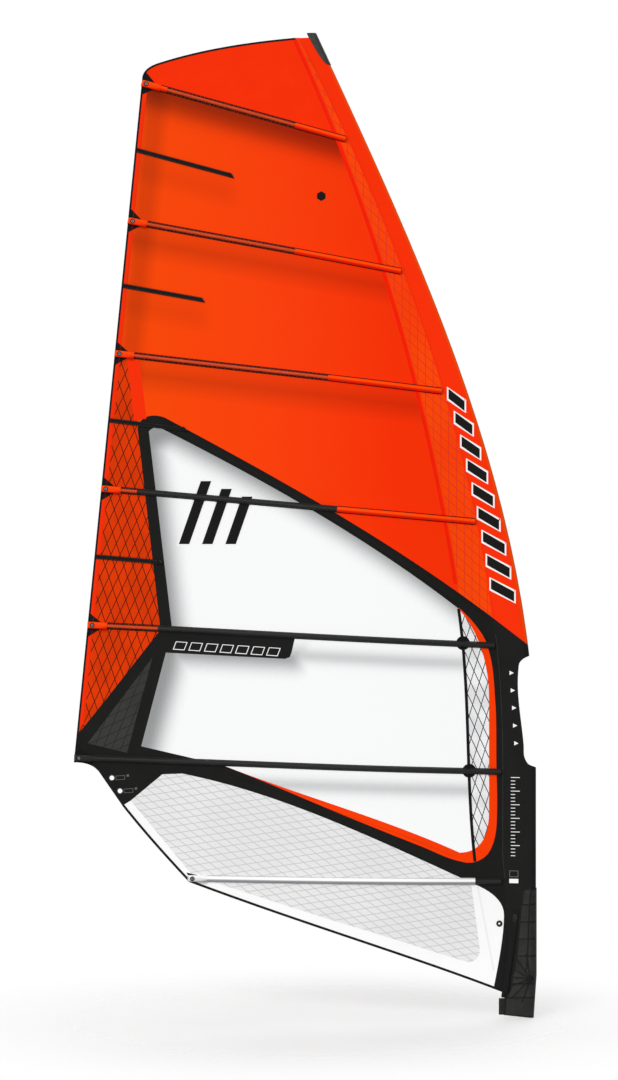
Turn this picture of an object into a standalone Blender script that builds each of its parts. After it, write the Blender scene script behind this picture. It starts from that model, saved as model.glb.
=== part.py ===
"""Windsurf sail with its luff sleeve, battens, tensioners, clew grommets, tack pulley and tack fairing.

Metres, +Z up. The origin is on the axis of the mast channel, at the open bottom of the tack fairing.
The luff points to +X, the leech to -X, and the port side, which carries the batten pockets, to -Y.
"""

import math

import bmesh
import bpy
import numpy as np
from mathutils import Matrix, Vector
from mathutils.geometry import delaunay_2d_cdt

# Driving dimensions of the sail's side view: (x, z) in metres.
HEAD_HEIGHT = 5.068
NOSE = 0.030  # front of the sleeve, ahead of the mast axis, below the boom cutout
LUFF_CURVE = ((NOSE, 1.289), (0.031, 2.638), (-0.546, 3.871), (-1.104, HEAD_HEIGHT))
SEAM_CURVE = ((-0.145, 1.265), (-0.128, 2.565), (-0.602, 3.903), (-1.191, 5.046))
SEAM_FOOT = ((-0.100, 0.135), (-0.112, 0.520), (-0.145, 0.820))
PLY_CURVE = ((-0.369, 2.201), (-0.519, 3.178), (-0.789, 4.146), (-1.206, 5.0447))
LEECH_TOP = (-1.996, 4.847)
CLEW = (-2.349, 1.314)
HEAD_CURVE = ((-1.909, 4.916), (-1.677, 4.990), (-1.434, 5.025), (-1.191, 5.046))
HEAD_CORNER = ((-1.909, 4.916), (-1.950, 4.903), (-1.985, 4.885), LEECH_TOP)
FOOT_CURVE = ((-1.757, 0.700), (-1.215, 0.499), (-0.658, 0.331), (-0.120, 0.123))
FOOT_LEECH = ((-2.100, 1.091), (-1.962, 0.917), (-1.757, 0.700))
CLEW_NOTCH = (CLEW, (-2.270, 1.314), (-2.235, 1.290), (-2.210, 1.250))
TACK_CORNER_X = -0.1885

# The black window frame and what it joins.
FRAME_TOP = ((-1.885, 3.091), (-1.241, 2.748), (-0.594, 2.384), (-0.022, 1.927))
FRAME_LEECH = ((-1.906, 2.019), (-2.022, 3.035), (-1.992, 3.085), (-1.942, 3.102))
WINDOW_TOP = ((-1.908, 3.038), (-1.380, 2.772), (-0.842, 2.470), (-0.370, 2.106))
WINDOW_LEECH = ((-1.908, 3.038), (-1.942, 3.044), (-1.964, 3.018), (-1.846, 2.019))
WINDOW_CLEW = ((-1.846, 2.019), (-1.877, 1.875), (-2.003, 1.397), (-1.732, 1.335))
WINDOW_FOOT = ((-1.564, 1.294), (-1.164, 1.142), (-0.752, 1.032), (-0.364, 0.851))
WINDOW_CORNER = ((-0.364, 0.851), (-0.280, 0.851), (-0.212, 0.900), (-0.212, 1.061))
WINDOW_LUFF = ((-0.212, 1.644), (-0.212, 1.800), (-0.255, 1.980), (-0.370, 2.106))
WINDOW_TAPE = ((-0.370, 2.106), (-0.307, 1.674), (-0.335, 1.237))
FRAME_FOOT = ((-1.791, 1.257), (-1.263, 1.155), (-0.770, 0.914), (-0.285, 0.687))
FRAME_TACK = ((-0.285, 0.687), (-0.200, 0.650), (-0.135, 0.600), (-0.135, 0.527))
FRAME_SKIRT = ((-0.135, 0.527), (-0.135, 0.420), (-0.165, 0.270))
FRAME_JOINT_Z = 1.915
FRAME_JOINT_SLANT = 0.018  # the joint between the frame's two parts rises this much towards the window
CLEW_DIAGONAL = ((-1.913, 1.985), (-2.187, 1.635))
CLEW_DIAGONAL_Z = 1.451
CLEW_LOWER = ((-2.057, 1.117), (-1.894, 1.253))
CLEW_JOINT_X = -1.712
LEECH_PLY_TOP_X = -2.043

# Heights of each batten's leech end and luff end. The last one starts on the foot, not on the leech.
BATTEN_ENDS = (
    (4.812, 4.518),
    (4.104, 3.840),
    (3.420, 3.224),
    (2.724, 2.553),
    (2.022, 1.915),
    (1.338, 1.265),
)
FOOT_BATTEN = ((-1.762, 0.718), (-0.145, 0.701))
# Leech height, height of the inner tip and length of each short leech batten.
MINI_BATTENS = (
    (4.469, 4.331, 0.529),
    (3.770, 3.692, 0.437),
    (3.076, 3.027, 0.413),
    (2.374, 2.343, 0.353),
)

# The sail's fullness as the cloth curves towards port: deepest a third of the way up, and a third
# of the way back from the seam.
DEPTH = 0.090
TACK_HEIGHT = 0.10
RISE_SCALE = 6.75  # makes the greatest value of t (1 - t)^2 one
CHORD_SCALE = 17.54  # makes the greatest value of u^1.5 (1 - u)^3 one

CLOTH = 0.0012
GAP = 0.0005  # between neighbouring panels
PAST = 0.010  # how far a cutting shape runs on past the surface it opens
STEP = 0.22  # spacing of the points that follow the sail's curve
SAME_PLACE = 1e-4  # outline points nearer than this are one point
MITRE_LIMIT = 0.35  # how sharp a corner may be before its inset is held back

# Sleeve: a teardrop tube round the mast channel.
SLEEVE_WALL = 0.0015
SLEEVE_REAR = 0.0025  # half thickness at the seam
SLEEVE_TAPER = 0.0024  # loss of nose radius for each metre of height
SLEEVE_BOTTOM = 0.190
SLEEVE_TOP = 5.044
CUTOUT_TOP = 1.862
# The boom cutout's edge in the side view, from its foot to its head.
CUTOUT_EDGE = (
    (0.029, 1.2885),
    (-0.009, 1.3045),
    (-0.029, 1.337),
    (-0.0345, 1.403),
    (-0.061, 1.797),
    (-0.058, 1.823),
    (-0.037, 1.848),
    (-0.007, CUTOUT_TOP),
)
CUTTER_REACH = 0.080
SIDE_STEPS = 10
NOSE_GAP = 0.0006  # half the gap where the sleeve's two walls meet in front

# Pockets, battens and tensioners, in each batten's own line.
POCKET_HEIGHT = 0.033
POCKET_DEPTH = 0.016
POCKET_WALL = 0.001
POCKET_OFFSET = 0.0120  # centre of the pocket from the middle of the cloth
ROD_RADIUS = 0.0048
BATTEN_TRAVEL = 0.012
HOUSING_START = 0.006
HOUSING_LENGTH = 0.080
HOUSING_HEIGHT = 0.030
HOUSING_DEPTH = 0.017
HOUSING_WALL = 0.0025
SLOT_HALF_DEPTH = 0.0062
DIAL_PLACE = 0.024
DIAL_RADIUS = 0.011
DIAL_PROUD = 0.001
DIAL_BACK = -0.0058
DIAL_CHAMFER = 0.001
SOCKET_RADIUS = 0.0045
SOCKET_FLOOR = -0.0062
PINION_RADIUS = 0.004  # the batten moves this far for each radian of its dial
PINION_BACK = 0.0048
# The shoe at the batten's leech end: a bar that runs below the pinion and steps up to the rod.
BAR_START = -0.012
BAR_END = 0.042
BAR_STEP = 0.022
BAR_BOTTOM = -0.0105
BAR_TOP = -0.0045
BAR_RISE = 0.0055
BAR_HALF_WIDTH = 0.0035
ROD_START = 0.034
POCKET_START = HOUSING_START + HOUSING_LENGTH + 0.002
POCKET_CLEARANCE = 0.005
ROD_CLEARANCE = 0.003
POCKET_FINISHES = ("film_orange",) * 4 + ("pocket_black",) * 2 + ("cloth_white",)
MINI_HEIGHT = 0.020
MINI_DEPTH = 0.003
MINI_OFFSET = 0.0045
MINI_START = 0.004
MINI_SLANT = 0.014

# Fittings.
GROMMET_HOLE = 0.012
GROMMET_FLANGE = 0.007
EYELET_FLANGE = 0.011
GROMMET_WALL = 0.0015
GROMMET_HALF = 0.0034
GROMMET_PLATE = 0.0012
GROMMET_ROOM = 0.003  # the hole in the cloth is this much wider than the grommet's own
GROMMET_PLACES = ((-2.154, 1.234), (-2.112, 1.167))
EYELET_HOLE = 0.005
EYELET_PLACE = (-0.159, 0.484)
CAP_WALL = 0.0025
CAP_CLEARANCE = 0.001
CAP_BOTTOM = 4.905
CAP_ROWS = 8
CAP_REACH = (0.014, 0.046)  # from the luff to the cap's rear edge, at its bottom and its top
CAP_HEADROOM = 0.004
CAP_BEHIND = 0.010
FAIRING_TOP = 0.669
FAIRING_WALL = 0.004
FAIRING_RADIUS = 0.0295
FAIRING_REAR_HALF = 0.024
FAIRING_REAR = (
    (0.0, -0.138),
    (0.100, -0.132),
    (0.143, -0.106),
    (0.338, -0.076),
    (0.545, -0.055),
    (0.604, -0.049),
)
FAIRING_CORNER = ((0.604, -0.049), (0.645, -0.045), (0.668, -0.025), (FAIRING_TOP, 0.005))
FAIRING_FRONT = ((0.0, 0.0185), (0.220, 0.0335), (FAIRING_TOP, 0.0335))
FAIRING_SLOPE = 0.10  # the bottom edge rises towards the rear
FAIRING_ROOM = 0.0015  # between the fairing's edge and the sleeve cut away round it
FAIRING_SPACE_FOOT = 0.1  # the sleeve is cut away round the fairing above this height
FAIRING_ROWS = (0.0, 0.050, 0.100, 0.143, 0.220, 0.338, 0.450, 0.545, 0.604, 0.640, 0.660, FAIRING_TOP)
BLOCK_X = (-0.161, -0.105)
BLOCK_Z = (0.016, 0.099)
BLOCK_HALF = 0.0135
BLOCK_CHEEK = 0.0035
BLOCK_BRIDGE = 0.014
AXLE_PLACE = (-0.133, 0.047)
AXLE_RADIUS = 0.003
SHEAVE_RADIUS = 0.013
SHEAVE_WIDTH = 0.0056
SHEAVE_SPACING = 0.0064
SHEAVE_GROOVE = 0.003
SHEAVE_LIP = 0.001
RUNNING_GAP = 0.0003
STRAP_LINE = ((-0.1345, 0.1025), (-0.0757, 0.545))
STRAP_HALF_WIDTH = 0.0145
STRAP_THICKNESS = 0.002
STRAP_TOP_HALF = 0.0215
STRAP_BOTTOM_HALF = 0.0070

FINISHES = {
    "film_orange": ((1.0, 0.06, 0.002), 0.35, 0.0),
    "ply_orange": ((0.85, 0.07, 0.01), 0.45, 0.0),
    "film_clear": ((0.9, 0.92, 0.94), 0.1, 0.0),
    "ply_clear": ((0.75, 0.78, 0.8), 0.3, 0.0),
    "cloth_black": ((0.012, 0.012, 0.011), 0.7, 0.0),
    "cloth_white": ((0.85, 0.85, 0.85), 0.5, 0.0),
    "pocket_black": ((0.025, 0.025, 0.024), 0.6, 0.0),
    "batten_carbon": ((0.02, 0.02, 0.02), 0.35, 0.0),
    "moulded_black": ((0.02, 0.02, 0.019), 0.5, 0.0),
    "black_metal": ((0.03, 0.03, 0.03), 0.35, 0.0),
    "steel": ((0.6, 0.6, 0.6), 0.3, 1.0),
}


def clear_scene():
    for obj in list(bpy.data.objects):
        bpy.data.objects.remove(obj)


def make_finishes():
    made = {}
    for name, (colour, roughness, metallic) in FINISHES.items():
        material = bpy.data.materials.new(name)
        material.use_nodes = True
        shader = material.node_tree.nodes["Principled BSDF"]
        shader.inputs["Base Color"].default_value = (*colour, 1.0)
        shader.inputs["Roughness"].default_value = roughness
        shader.inputs["Metallic"].default_value = metallic
        made[name] = material
    return made


# Curves in the side view.


def bezier(points, count=24):
    """Points along a Bezier curve of any degree."""
    degree = len(points) - 1
    found = []
    for step in range(count + 1):
        t = step / count
        weights = [math.comb(degree, k) * t**k * (1 - t) ** (degree - k) for k in range(degree + 1)]
        x = sum(w * p[0] for w, p in zip(weights, points))
        z = sum(w * p[1] for w, p in zip(weights, points))
        found.append((x, z))
    return found


class Curve:
    """A curve read either as x at a height or as z at a place along the chord."""

    def __init__(self, points):
        self.points = np.array(points)

    def x_at(self, z):
        order = np.argsort(self.points[:, 1])
        return float(np.interp(z, self.points[order, 1], self.points[order, 0]))

    def z_at(self, x):
        order = np.argsort(self.points[:, 0])
        return float(np.interp(x, self.points[order, 0], self.points[order, 1]))


def breaks(start, end):
    """The two ends and the shared grid values between them, from start to end."""
    low, high = sorted((start, end))
    margin = 0.1 * STEP
    first = math.floor(low / STEP)
    last = math.ceil(high / STEP)
    inner = [k * STEP for k in range(first, last + 1) if low + margin < k * STEP < high - margin]
    values = [low, *inner, high]
    return values if start < end else values[::-1]


def upright(curve, start_z, end_z):
    return [(curve.x_at(z), z) for z in breaks(start_z, end_z)]


def level(curve, start_x, end_x):
    return [(x, curve.z_at(x)) for x in breaks(start_x, end_x)]


def crossing(upright_curve, level_curve, x):
    """Where a curve read by height meets one read along the chord, found from a first guess of x."""
    for _ in range(40):
        z = level_curve.z_at(x)
        x = upright_curve.x_at(z)
    return x, z


luff = Curve([(NOSE, 0.0), *bezier(LUFF_CURVE)])
seam = Curve([*SEAM_FOOT, *bezier(SEAM_CURVE)])
ply_seam = Curve(bezier(PLY_CURVE))
leech = Curve([CLEW, LEECH_TOP])
head = Curve(bezier(HEAD_CURVE))
foot = Curve(bezier(FOOT_CURVE))
frame_top = Curve(bezier(FRAME_TOP))
frame_foot = Curve(bezier(FRAME_FOOT))
window_top = Curve(bezier(WINDOW_TOP))
window_foot = Curve(bezier(WINDOW_FOOT))
window_luff = Curve([WINDOW_CORNER[3], *bezier(WINDOW_LUFF)])


def leech_x(z):
    """The leech's line, carried on below the clew for measuring the chord."""
    slope = (LEECH_TOP[0] - CLEW[0]) / (LEECH_TOP[1] - CLEW[1])
    return CLEW[0] + slope * (z - CLEW[1])


def camber(x, z):
    """How far the cloth stands towards port: none at the sleeve, the leech, the tack and the head."""
    front = seam.x_at(z)
    u = min(max((front - x) / (front - leech_x(z)), 0.0), 1.0)
    t = min(max((z - TACK_HEIGHT) / (HEAD_HEIGHT - TACK_HEIGHT), 0.0), 1.0)
    depth = DEPTH * RISE_SCALE * t * (1 - t) ** 2
    return -depth * CHORD_SCALE * u**1.5 * (1 - u) ** 3


# Building meshes.


def add_object(name, mesh, finish, smooth_angle=None):
    obj = bpy.data.objects.new(name, mesh)
    bpy.context.scene.collection.objects.link(obj)
    mesh.materials.clear()
    mesh.materials.append(finish)
    if smooth_angle:
        mesh.shade_smooth()
        mesh.set_sharp_from_angle(angle=math.radians(smooth_angle))
    return obj


def closed_mesh(name, points, faces):
    """A mesh from points and faces, with its faces turned outwards."""
    mesh = bpy.data.meshes.new(name)
    mesh.from_pydata([tuple(p) for p in points], [], faces)
    body = bmesh.new()
    body.from_mesh(mesh)
    bmesh.ops.recalc_face_normals(body, faces=body.faces)
    body.to_mesh(mesh)
    body.free()
    return mesh


def signed_area(outline):
    total = 0.0
    for (x0, z0), (x1, z1) in zip(outline, outline[1:] + outline[:1]):
        total += x0 * z1 - x1 * z0
    return total / 2


def joined(*edges):
    """One outline, anticlockwise as seen from port, from edges laid end to end."""
    points = []
    for edge in edges:
        for point in edge:
            if not points or math.dist(point, points[-1]) > SAME_PLACE:
                points.append(point)
    if math.dist(points[0], points[-1]) <= SAME_PLACE:
        points.pop()
    return points if signed_area(points) > 0 else points[::-1]


def subdivided(outline):
    """The outline with no edge longer than the grid step."""
    found = []
    for start, end in zip(outline, outline[1:] + outline[:1]):
        parts = max(1, math.ceil(math.dist(start, end) / (1.3 * STEP)))
        for k in range(parts):
            t = k / parts
            found.append((start[0] + t * (end[0] - start[0]), start[1] + t * (end[1] - start[1])))
    return found


def inset(outline, distance):
    """The outline moved inwards by the same distance along every edge."""
    found = []
    count = len(outline)
    for k, point in enumerate(outline):
        before = Vector(point) - Vector(outline[k - 1])
        after = Vector(outline[(k + 1) % count]) - Vector(point)
        normal_before = Vector((-before.y, before.x)).normalized()
        normal_after = Vector((-after.y, after.x)).normalized()
        bisector = (normal_before + normal_after).normalized()
        reach = distance / max(bisector.dot(normal_before), MITRE_LIMIT)
        found.append(tuple(Vector(point) + bisector * reach))
    return found


def inside(point, outline):
    x, z = point
    crossings = 0
    for (x0, z0), (x1, z1) in zip(outline, outline[1:] + outline[:1]):
        if (z0 > z) != (z1 > z) and x < x0 + (z - z0) * (x1 - x0) / (z1 - z0):
            crossings += 1
    return crossings % 2 == 1


def distance_to(point, outline):
    nearest = 1e9
    for start, end in zip(outline, outline[1:] + outline[:1]):
        a, b, p = Vector(start), Vector(end), Vector(point)
        t = min(max((p - a).dot(b - a) / (b - a).length_squared, 0.0), 1.0)
        nearest = min(nearest, (a.lerp(b, t) - p).length)
    return nearest


def triangulated(outline, holes):
    """Points and triangles that fill the outline, with inner points to follow the sail's curve."""
    loops = [outline, *holes]
    points = [Vector(p) for loop in loops for p in loop]
    edges = []
    start = 0
    for loop in loops:
        count = len(loop)
        edges += [(start + k, start + (k + 1) % count) for k in range(count)]
        start += count
    xs = [p[0] for p in outline]
    zs = [p[1] for p in outline]
    for column in range(math.floor(min(xs) / STEP), math.ceil(max(xs) / STEP) + 1):
        for row in range(math.floor(min(zs) / STEP), math.ceil(max(zs) / STEP) + 1):
            place = (column * STEP, row * STEP)
            if inside(place, outline) and min(distance_to(place, loop) for loop in loops) > 0.3 * STEP:
                points.append(Vector(place))
    found, _, faces, *_ = delaunay_2d_cdt(points, edges, [], 1, 1e-7)
    kept = []
    for face in faces:
        middle = sum((found[k] for k in face), Vector((0.0, 0.0))) / len(face)
        if inside(middle, outline) and not any(inside(middle, hole) for hole in holes):
            kept.append(tuple(face))
    used = sorted({k for face in kept for k in face})
    place_of = {old: new for new, old in enumerate(used)}
    return [tuple(found[k]) for k in used], [tuple(place_of[k] for k in face) for face in kept]


def cloth(name, outline, finish, holes=()):
    """A panel of cloth that lies in the sail's curved surface."""
    rim = inset(subdivided(outline), GAP / 2)
    flat, triangles = triangulated(rim, [list(hole) for hole in holes])
    port = [(x, camber(x, z) - CLOTH / 2, z) for x, z in flat]
    starboard = [(x, camber(x, z) + CLOTH / 2, z) for x, z in flat]
    count = len(flat)
    faces = list(triangles) + [tuple(k + count for k in reversed(face)) for face in triangles]
    directed = {(face[k], face[(k + 1) % 3]) for face in triangles for k in range(3)}
    for a, b in sorted(directed):
        if (b, a) not in directed:
            faces.append((b, a, a + count, b + count))
    return add_object(name, closed_mesh(name, port + starboard, faces), finish)


def ring_points(centre, radius, count=16):
    x, z = centre
    angles = [2 * math.pi * k / count for k in range(count)]
    return [(x + radius * math.cos(a), z + radius * math.sin(a)) for a in angles]


def lofted(sections, hollow=None):
    """Points and faces of a body through closed sections, or of a tube with inner sections too."""
    points = []
    faces = []
    count = len(sections[0])
    for section in sections:
        points += section
    for row in range(len(sections) - 1):
        for k in range(count):
            a = row * count + k
            b = row * count + (k + 1) % count
            faces.append((a, b, b + count, a + count))
    last = (len(sections) - 1) * count
    if hollow is None:
        return points, faces + [tuple(range(count)), tuple(range(last, last + count))]
    shift = len(points)
    for section in hollow:
        points += section
    for row in range(len(hollow) - 1):
        for k in range(count):
            a = shift + row * count + k
            b = shift + row * count + (k + 1) % count
            faces.append((a, b, b + count, a + count))
    for base in (0, last):
        for k in range(count):
            a, b = base + k, base + (k + 1) % count
            faces.append((a, b, b + shift, a + shift))
    return points, faces


def turned(profile, sides, closed):
    """A body of revolution about Y, from (radius, y) points. A closed profile makes a ring."""
    points = []
    index = []
    for radius, y in profile:
        row = []
        for k in range(sides if radius > 0 else 1):
            angle = 2 * math.pi * k / sides
            row.append(len(points))
            points.append((radius * math.cos(angle), y, radius * math.sin(angle)))
        index.append(row)
    pairs = list(zip(index, index[1:] + index[:1])) if closed else list(zip(index, index[1:]))
    faces = []
    for first, second in pairs:
        for k in range(sides):
            n = (k + 1) % sides
            corners = [first[k % len(first)], first[n % len(first)]]
            corners += [second[n % len(second)], second[k % len(second)]]
            face = tuple(dict.fromkeys(corners))
            if len(face) > 2:
                faces.append(face)
    return points, faces


def box_points(low, high):
    sides = list(zip(low, high))
    corners = [Vector((x, y, z)) for x in sides[0] for y in sides[1] for z in sides[2]]
    faces = [(0, 1, 3, 2), (4, 6, 7, 5), (0, 4, 5, 1), (2, 3, 7, 6), (0, 2, 6, 4), (1, 5, 7, 3)]
    return corners, faces


def combined(name, base, tools, operation):
    """The base mesh with every tool mesh cut from it or joined to it."""
    target = bpy.data.objects.new(name, base)
    bpy.context.scene.collection.objects.link(target)
    helpers = []
    for tool in tools:
        helper = bpy.data.objects.new(name + "_tool", tool)
        bpy.context.scene.collection.objects.link(helper)
        modifier = target.modifiers.new("boolean", "BOOLEAN")
        modifier.operation = operation
        modifier.object = helper
        helpers.append(helper)
    bpy.context.view_layer.update()
    evaluated = target.evaluated_get(bpy.context.evaluated_depsgraph_get())
    mesh = bpy.data.meshes.new_from_object(evaluated)
    for obj in (target, *helpers):
        bpy.data.objects.remove(obj)
    return mesh


# Battens.


class BattenLine:
    """The straight line of a batten in the side view, measured from its leech end."""

    def __init__(self, start, end):
        self.start = Vector(start)
        self.end = Vector(end)
        self.length = (self.end - self.start).length
        self.along = (self.end - self.start).normalized()
        self.up = Vector((-self.along.y, self.along.x))

    def place(self, distance, up=0.0, out=0.0):
        """A point this far along and above the line, and this far out to port from the cloth there."""
        on_line = self.start + self.along * distance
        point = on_line + self.up * up
        return Vector((point.x, camber(on_line.x, on_line.y) - out, point.y))

    def stations(self, start, end):
        count = max(2, math.ceil((end - start) / (0.75 * STEP)))
        return [start + (end - start) * k / count for k in range(count + 1)]

    def section(self, distance, shape, out):
        return [self.place(distance, up, out + sideways) for up, sideways in shape]

    def axes(self):
        """The tensioner's axes at its dial: X along the batten, Z up across it, Y to starboard."""
        origin = self.place(DIAL_PLACE, 0.0, POCKET_OFFSET)
        x_axis = (self.place(HOUSING_START + HOUSING_LENGTH, 0.0, POCKET_OFFSET) - origin).normalized()
        z_axis = Vector((self.up.x, 0.0, self.up.y))
        y_axis = z_axis.cross(x_axis)
        return Matrix.Translation(origin) @ Matrix((x_axis, y_axis, z_axis)).transposed().to_4x4()


def luff_stop(line):
    """Where the pocket stops, so that both its corners stay behind the sleeve's seam."""
    reach = line.length
    for up in (-POCKET_HEIGHT / 2, POCKET_HEIGHT / 2):
        corner = line.end + line.up * up
        reach = min(reach, line.length - (corner.x - seam.x_at(corner.y)) / line.along.x)
    return reach - POCKET_CLEARANCE


def rectangle(height, depth):
    h, d = height / 2, depth / 2
    return [(-h, -d), (h, -d), (h, d), (-h, d)]


def rounded(radius, sides=8):
    angles = [2 * math.pi * (k + 0.5) / sides for k in range(sides)]
    return [(radius * math.cos(a), radius * math.sin(a)) for a in angles]


def pocket(name, line, finish):
    stations = line.stations(POCKET_START, luff_stop(line))
    outer = rectangle(POCKET_HEIGHT, POCKET_DEPTH)
    inner = rectangle(POCKET_HEIGHT - 2 * POCKET_WALL, POCKET_DEPTH - 2 * POCKET_WALL)
    outside = [line.section(s, outer, POCKET_OFFSET) for s in stations]
    lining = [line.section(s, inner, POCKET_OFFSET) for s in stations]
    points, faces = lofted(outside, lining)
    return add_object(name, closed_mesh(name, points, faces), finish)


def batten(name, line, finish):
    """The rod, with the shoe and rack bar that the tensioner drives at its leech end."""
    end = luff_stop(line) - BATTEN_TRAVEL - ROD_CLEARANCE
    stations = line.stations(DIAL_PLACE + ROD_START, end)
    points, faces = lofted([line.section(s, rounded(ROD_RADIUS), POCKET_OFFSET) for s in stations])
    rod = closed_mesh(name, points, faces)
    bar = [(BAR_START, BAR_BOTTOM), (BAR_END, BAR_BOTTOM), (BAR_END, BAR_RISE)]
    bar += [(BAR_STEP, BAR_RISE), (BAR_STEP, BAR_TOP), (BAR_START, BAR_TOP)]
    sides = (-BAR_HALF_WIDTH, BAR_HALF_WIDTH)
    sections = [[Vector((along, side, up)) for along, up in bar] for side in sides]
    shoe = closed_mesh(name, *lofted(sections))
    shoe.transform(line.axes())
    mesh = combined(name, rod, [shoe], "UNION")
    obj = add_object(name, mesh, finish, 40)
    origin = line.axes().translation
    mesh.transform(Matrix.Translation(-origin))
    obj.location = origin
    return obj


def housing_mesh():
    """The tensioner's case: a slot open to the luff for the bar, and a round hole to port."""
    start = HOUSING_START - DIAL_PLACE
    end = start + HOUSING_LENGTH
    half_y, half_z = HOUSING_DEPTH / 2, HOUSING_HEIGHT / 2
    case = closed_mesh("case", *box_points((start, -half_y, -half_z), (end, half_y, half_z)))
    slot_low = (start + HOUSING_WALL, -SLOT_HALF_DEPTH, -half_z + HOUSING_WALL)
    slot_high = (end + PAST, SLOT_HALF_DEPTH, half_z - HOUSING_WALL)
    slot = closed_mesh("slot", *box_points(slot_low, slot_high))
    radius = DIAL_RADIUS + 2 * RUNNING_GAP
    profile = [(0, -half_y - PAST), (radius, -half_y - PAST), (radius, 0.0), (0, 0.0)]
    hole = closed_mesh("hole", *turned(profile, 24, False))
    return combined("housing", case, [slot, hole], "DIFFERENCE")


def dial_mesh():
    """The round head that a hexagon key turns, and the pinion behind it."""
    front = -HOUSING_DEPTH / 2 - DIAL_PROUD
    profile = [(0, front), (DIAL_RADIUS - DIAL_CHAMFER, front), (DIAL_RADIUS, front + DIAL_CHAMFER)]
    profile += [(DIAL_RADIUS, DIAL_BACK), (PINION_RADIUS, DIAL_BACK), (PINION_RADIUS, PINION_BACK)]
    body = closed_mesh("dial", *turned([*profile, (0, PINION_BACK)], 24, False))
    mouth = front - PAST
    profile = [(0, mouth), (SOCKET_RADIUS, mouth), (SOCKET_RADIUS, SOCKET_FLOOR), (0, SOCKET_FLOOR)]
    socket = closed_mesh("socket", *turned(profile, 6, False))
    return combined("dial", body, [socket], "DIFFERENCE")


def tensioner(number, line, case, dial, finishes):
    for name, mesh, finish in (
        (f"tensioner_housing_{number}", case, finishes["moulded_black"]),
        (f"tension_dial_{number}", dial, finishes["black_metal"]),
    ):
        obj = add_object(name, mesh, finish, 40)
        obj.matrix_world = line.axes()


def mini_batten(name, line, finish):
    """A flat batten with a slanted tip, longest along its lower edge."""
    shape = rectangle(MINI_HEIGHT, MINI_DEPTH)
    stations = line.stations(MINI_START, line.length - MINI_HEIGHT)
    sections = [line.section(s, shape, MINI_OFFSET) for s in stations]
    tip = []
    for up, out in shape:
        reach = line.length if up < 0 else line.length - MINI_SLANT
        tip.append(line.place(reach, up, MINI_OFFSET + out))
    points, faces = lofted([*sections, tip])
    return add_object(name, closed_mesh(name, points, faces), finish)


# Sleeve, cap and fairing: shells round the mast channel.


def sleeve_radius(z):
    return NOSE - SLEEVE_TAPER * max(z - CUTOUT_EDGE[0][1], 0.0)


def teardrop(x, nose_x, radius, rear_x, rear_half, grow):
    """Half the thickness of a teardrop section at x: a round nose, and straight sides to the rear."""
    centre = nose_x - radius
    full = radius + grow
    if x >= centre:
        return math.sqrt(max(full**2 - (x - centre) ** 2, 0.0))
    t = (x - rear_x) / (centre - rear_x)
    return (rear_half + grow) + t * (full - rear_half - grow)


def sleeve_half(x, z, grow=0.0):
    return teardrop(x, luff.x_at(z), sleeve_radius(z), seam.x_at(z), SLEEVE_REAR, grow)


def spaced(rear, front):
    """Places from the rear to the front, closest together at the nose."""
    steps = [math.sin(math.pi / 2 * k / SIDE_STEPS) for k in range(SIDE_STEPS + 1)]
    return [rear + (front - rear) * step for step in steps]


def shell_section(z, rear, front, half, wall, side, lift=0.0):
    """One slice of a side wall: its outer points from rear to front, then its inner points back."""
    outer = [(x, half(x, z, 0.0)) for x in spaced(rear, front)]
    inner = [(x, half(x, z, -wall)) for x in spaced(rear, front - wall)]
    points = []
    for x, y in outer + inner[::-1]:
        points.append(Vector((x, side * max(y, NOSE_GAP), z + lift * (front - x))))
    return points


def sleeve_wall(name, bottom, top, side):
    """One side of the sleeve between two heights, from the seam round to the luff."""
    sections = []
    for z in breaks(bottom, top):
        rear = seam.x_at(z) + GAP
        sections.append(shell_section(z, rear, luff.x_at(z), sleeve_half, SLEEVE_WALL, side))
    return closed_mesh(name, *lofted(sections))


def prism(name, outline):
    """The outline carried right across the sleeve, to cut with."""
    sides = (-CUTTER_REACH, CUTTER_REACH)
    return closed_mesh(name, *lofted([[Vector((x, y, z)) for x, z in outline] for y in sides]))


def lower_sleeve(name, side, finish):
    """The sleeve below the boom cutout, cut away round it and round the tack fairing."""
    wall = sleeve_wall(name, SLEEVE_BOTTOM, CUTOUT_TOP - GAP, side)
    head = (CUTTER_REACH, CUTOUT_TOP + PAST)
    front_foot = (CUTTER_REACH, CUTOUT_EDGE[0][1])
    cutout = prism("cutout", [front_foot, *CUTOUT_EDGE, (CUTOUT_EDGE[-1][0], head[1]), head])
    edge = [(x - FAIRING_ROOM, z) for x, z in fairing_rear_curve().points if z > FAIRING_SPACE_FOOT]
    top = FAIRING_TOP + FAIRING_ROOM
    round_fairing = [*edge[:-1], (edge[-1][0], top), (CUTTER_REACH, top), (CUTTER_REACH, edge[0][1])]
    fairing_space = prism("fairing_space", round_fairing)
    mesh = combined(name, wall, [cutout, fairing_space], "DIFFERENCE")
    return add_object(name, mesh, finish, 50)


def fairing_rear_curve():
    swapped = [(x, z) for z, x in FAIRING_REAR]
    corner = [(x, z) for z, x in bezier(FAIRING_CORNER, 6)]
    return Curve(swapped + corner)


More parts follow.
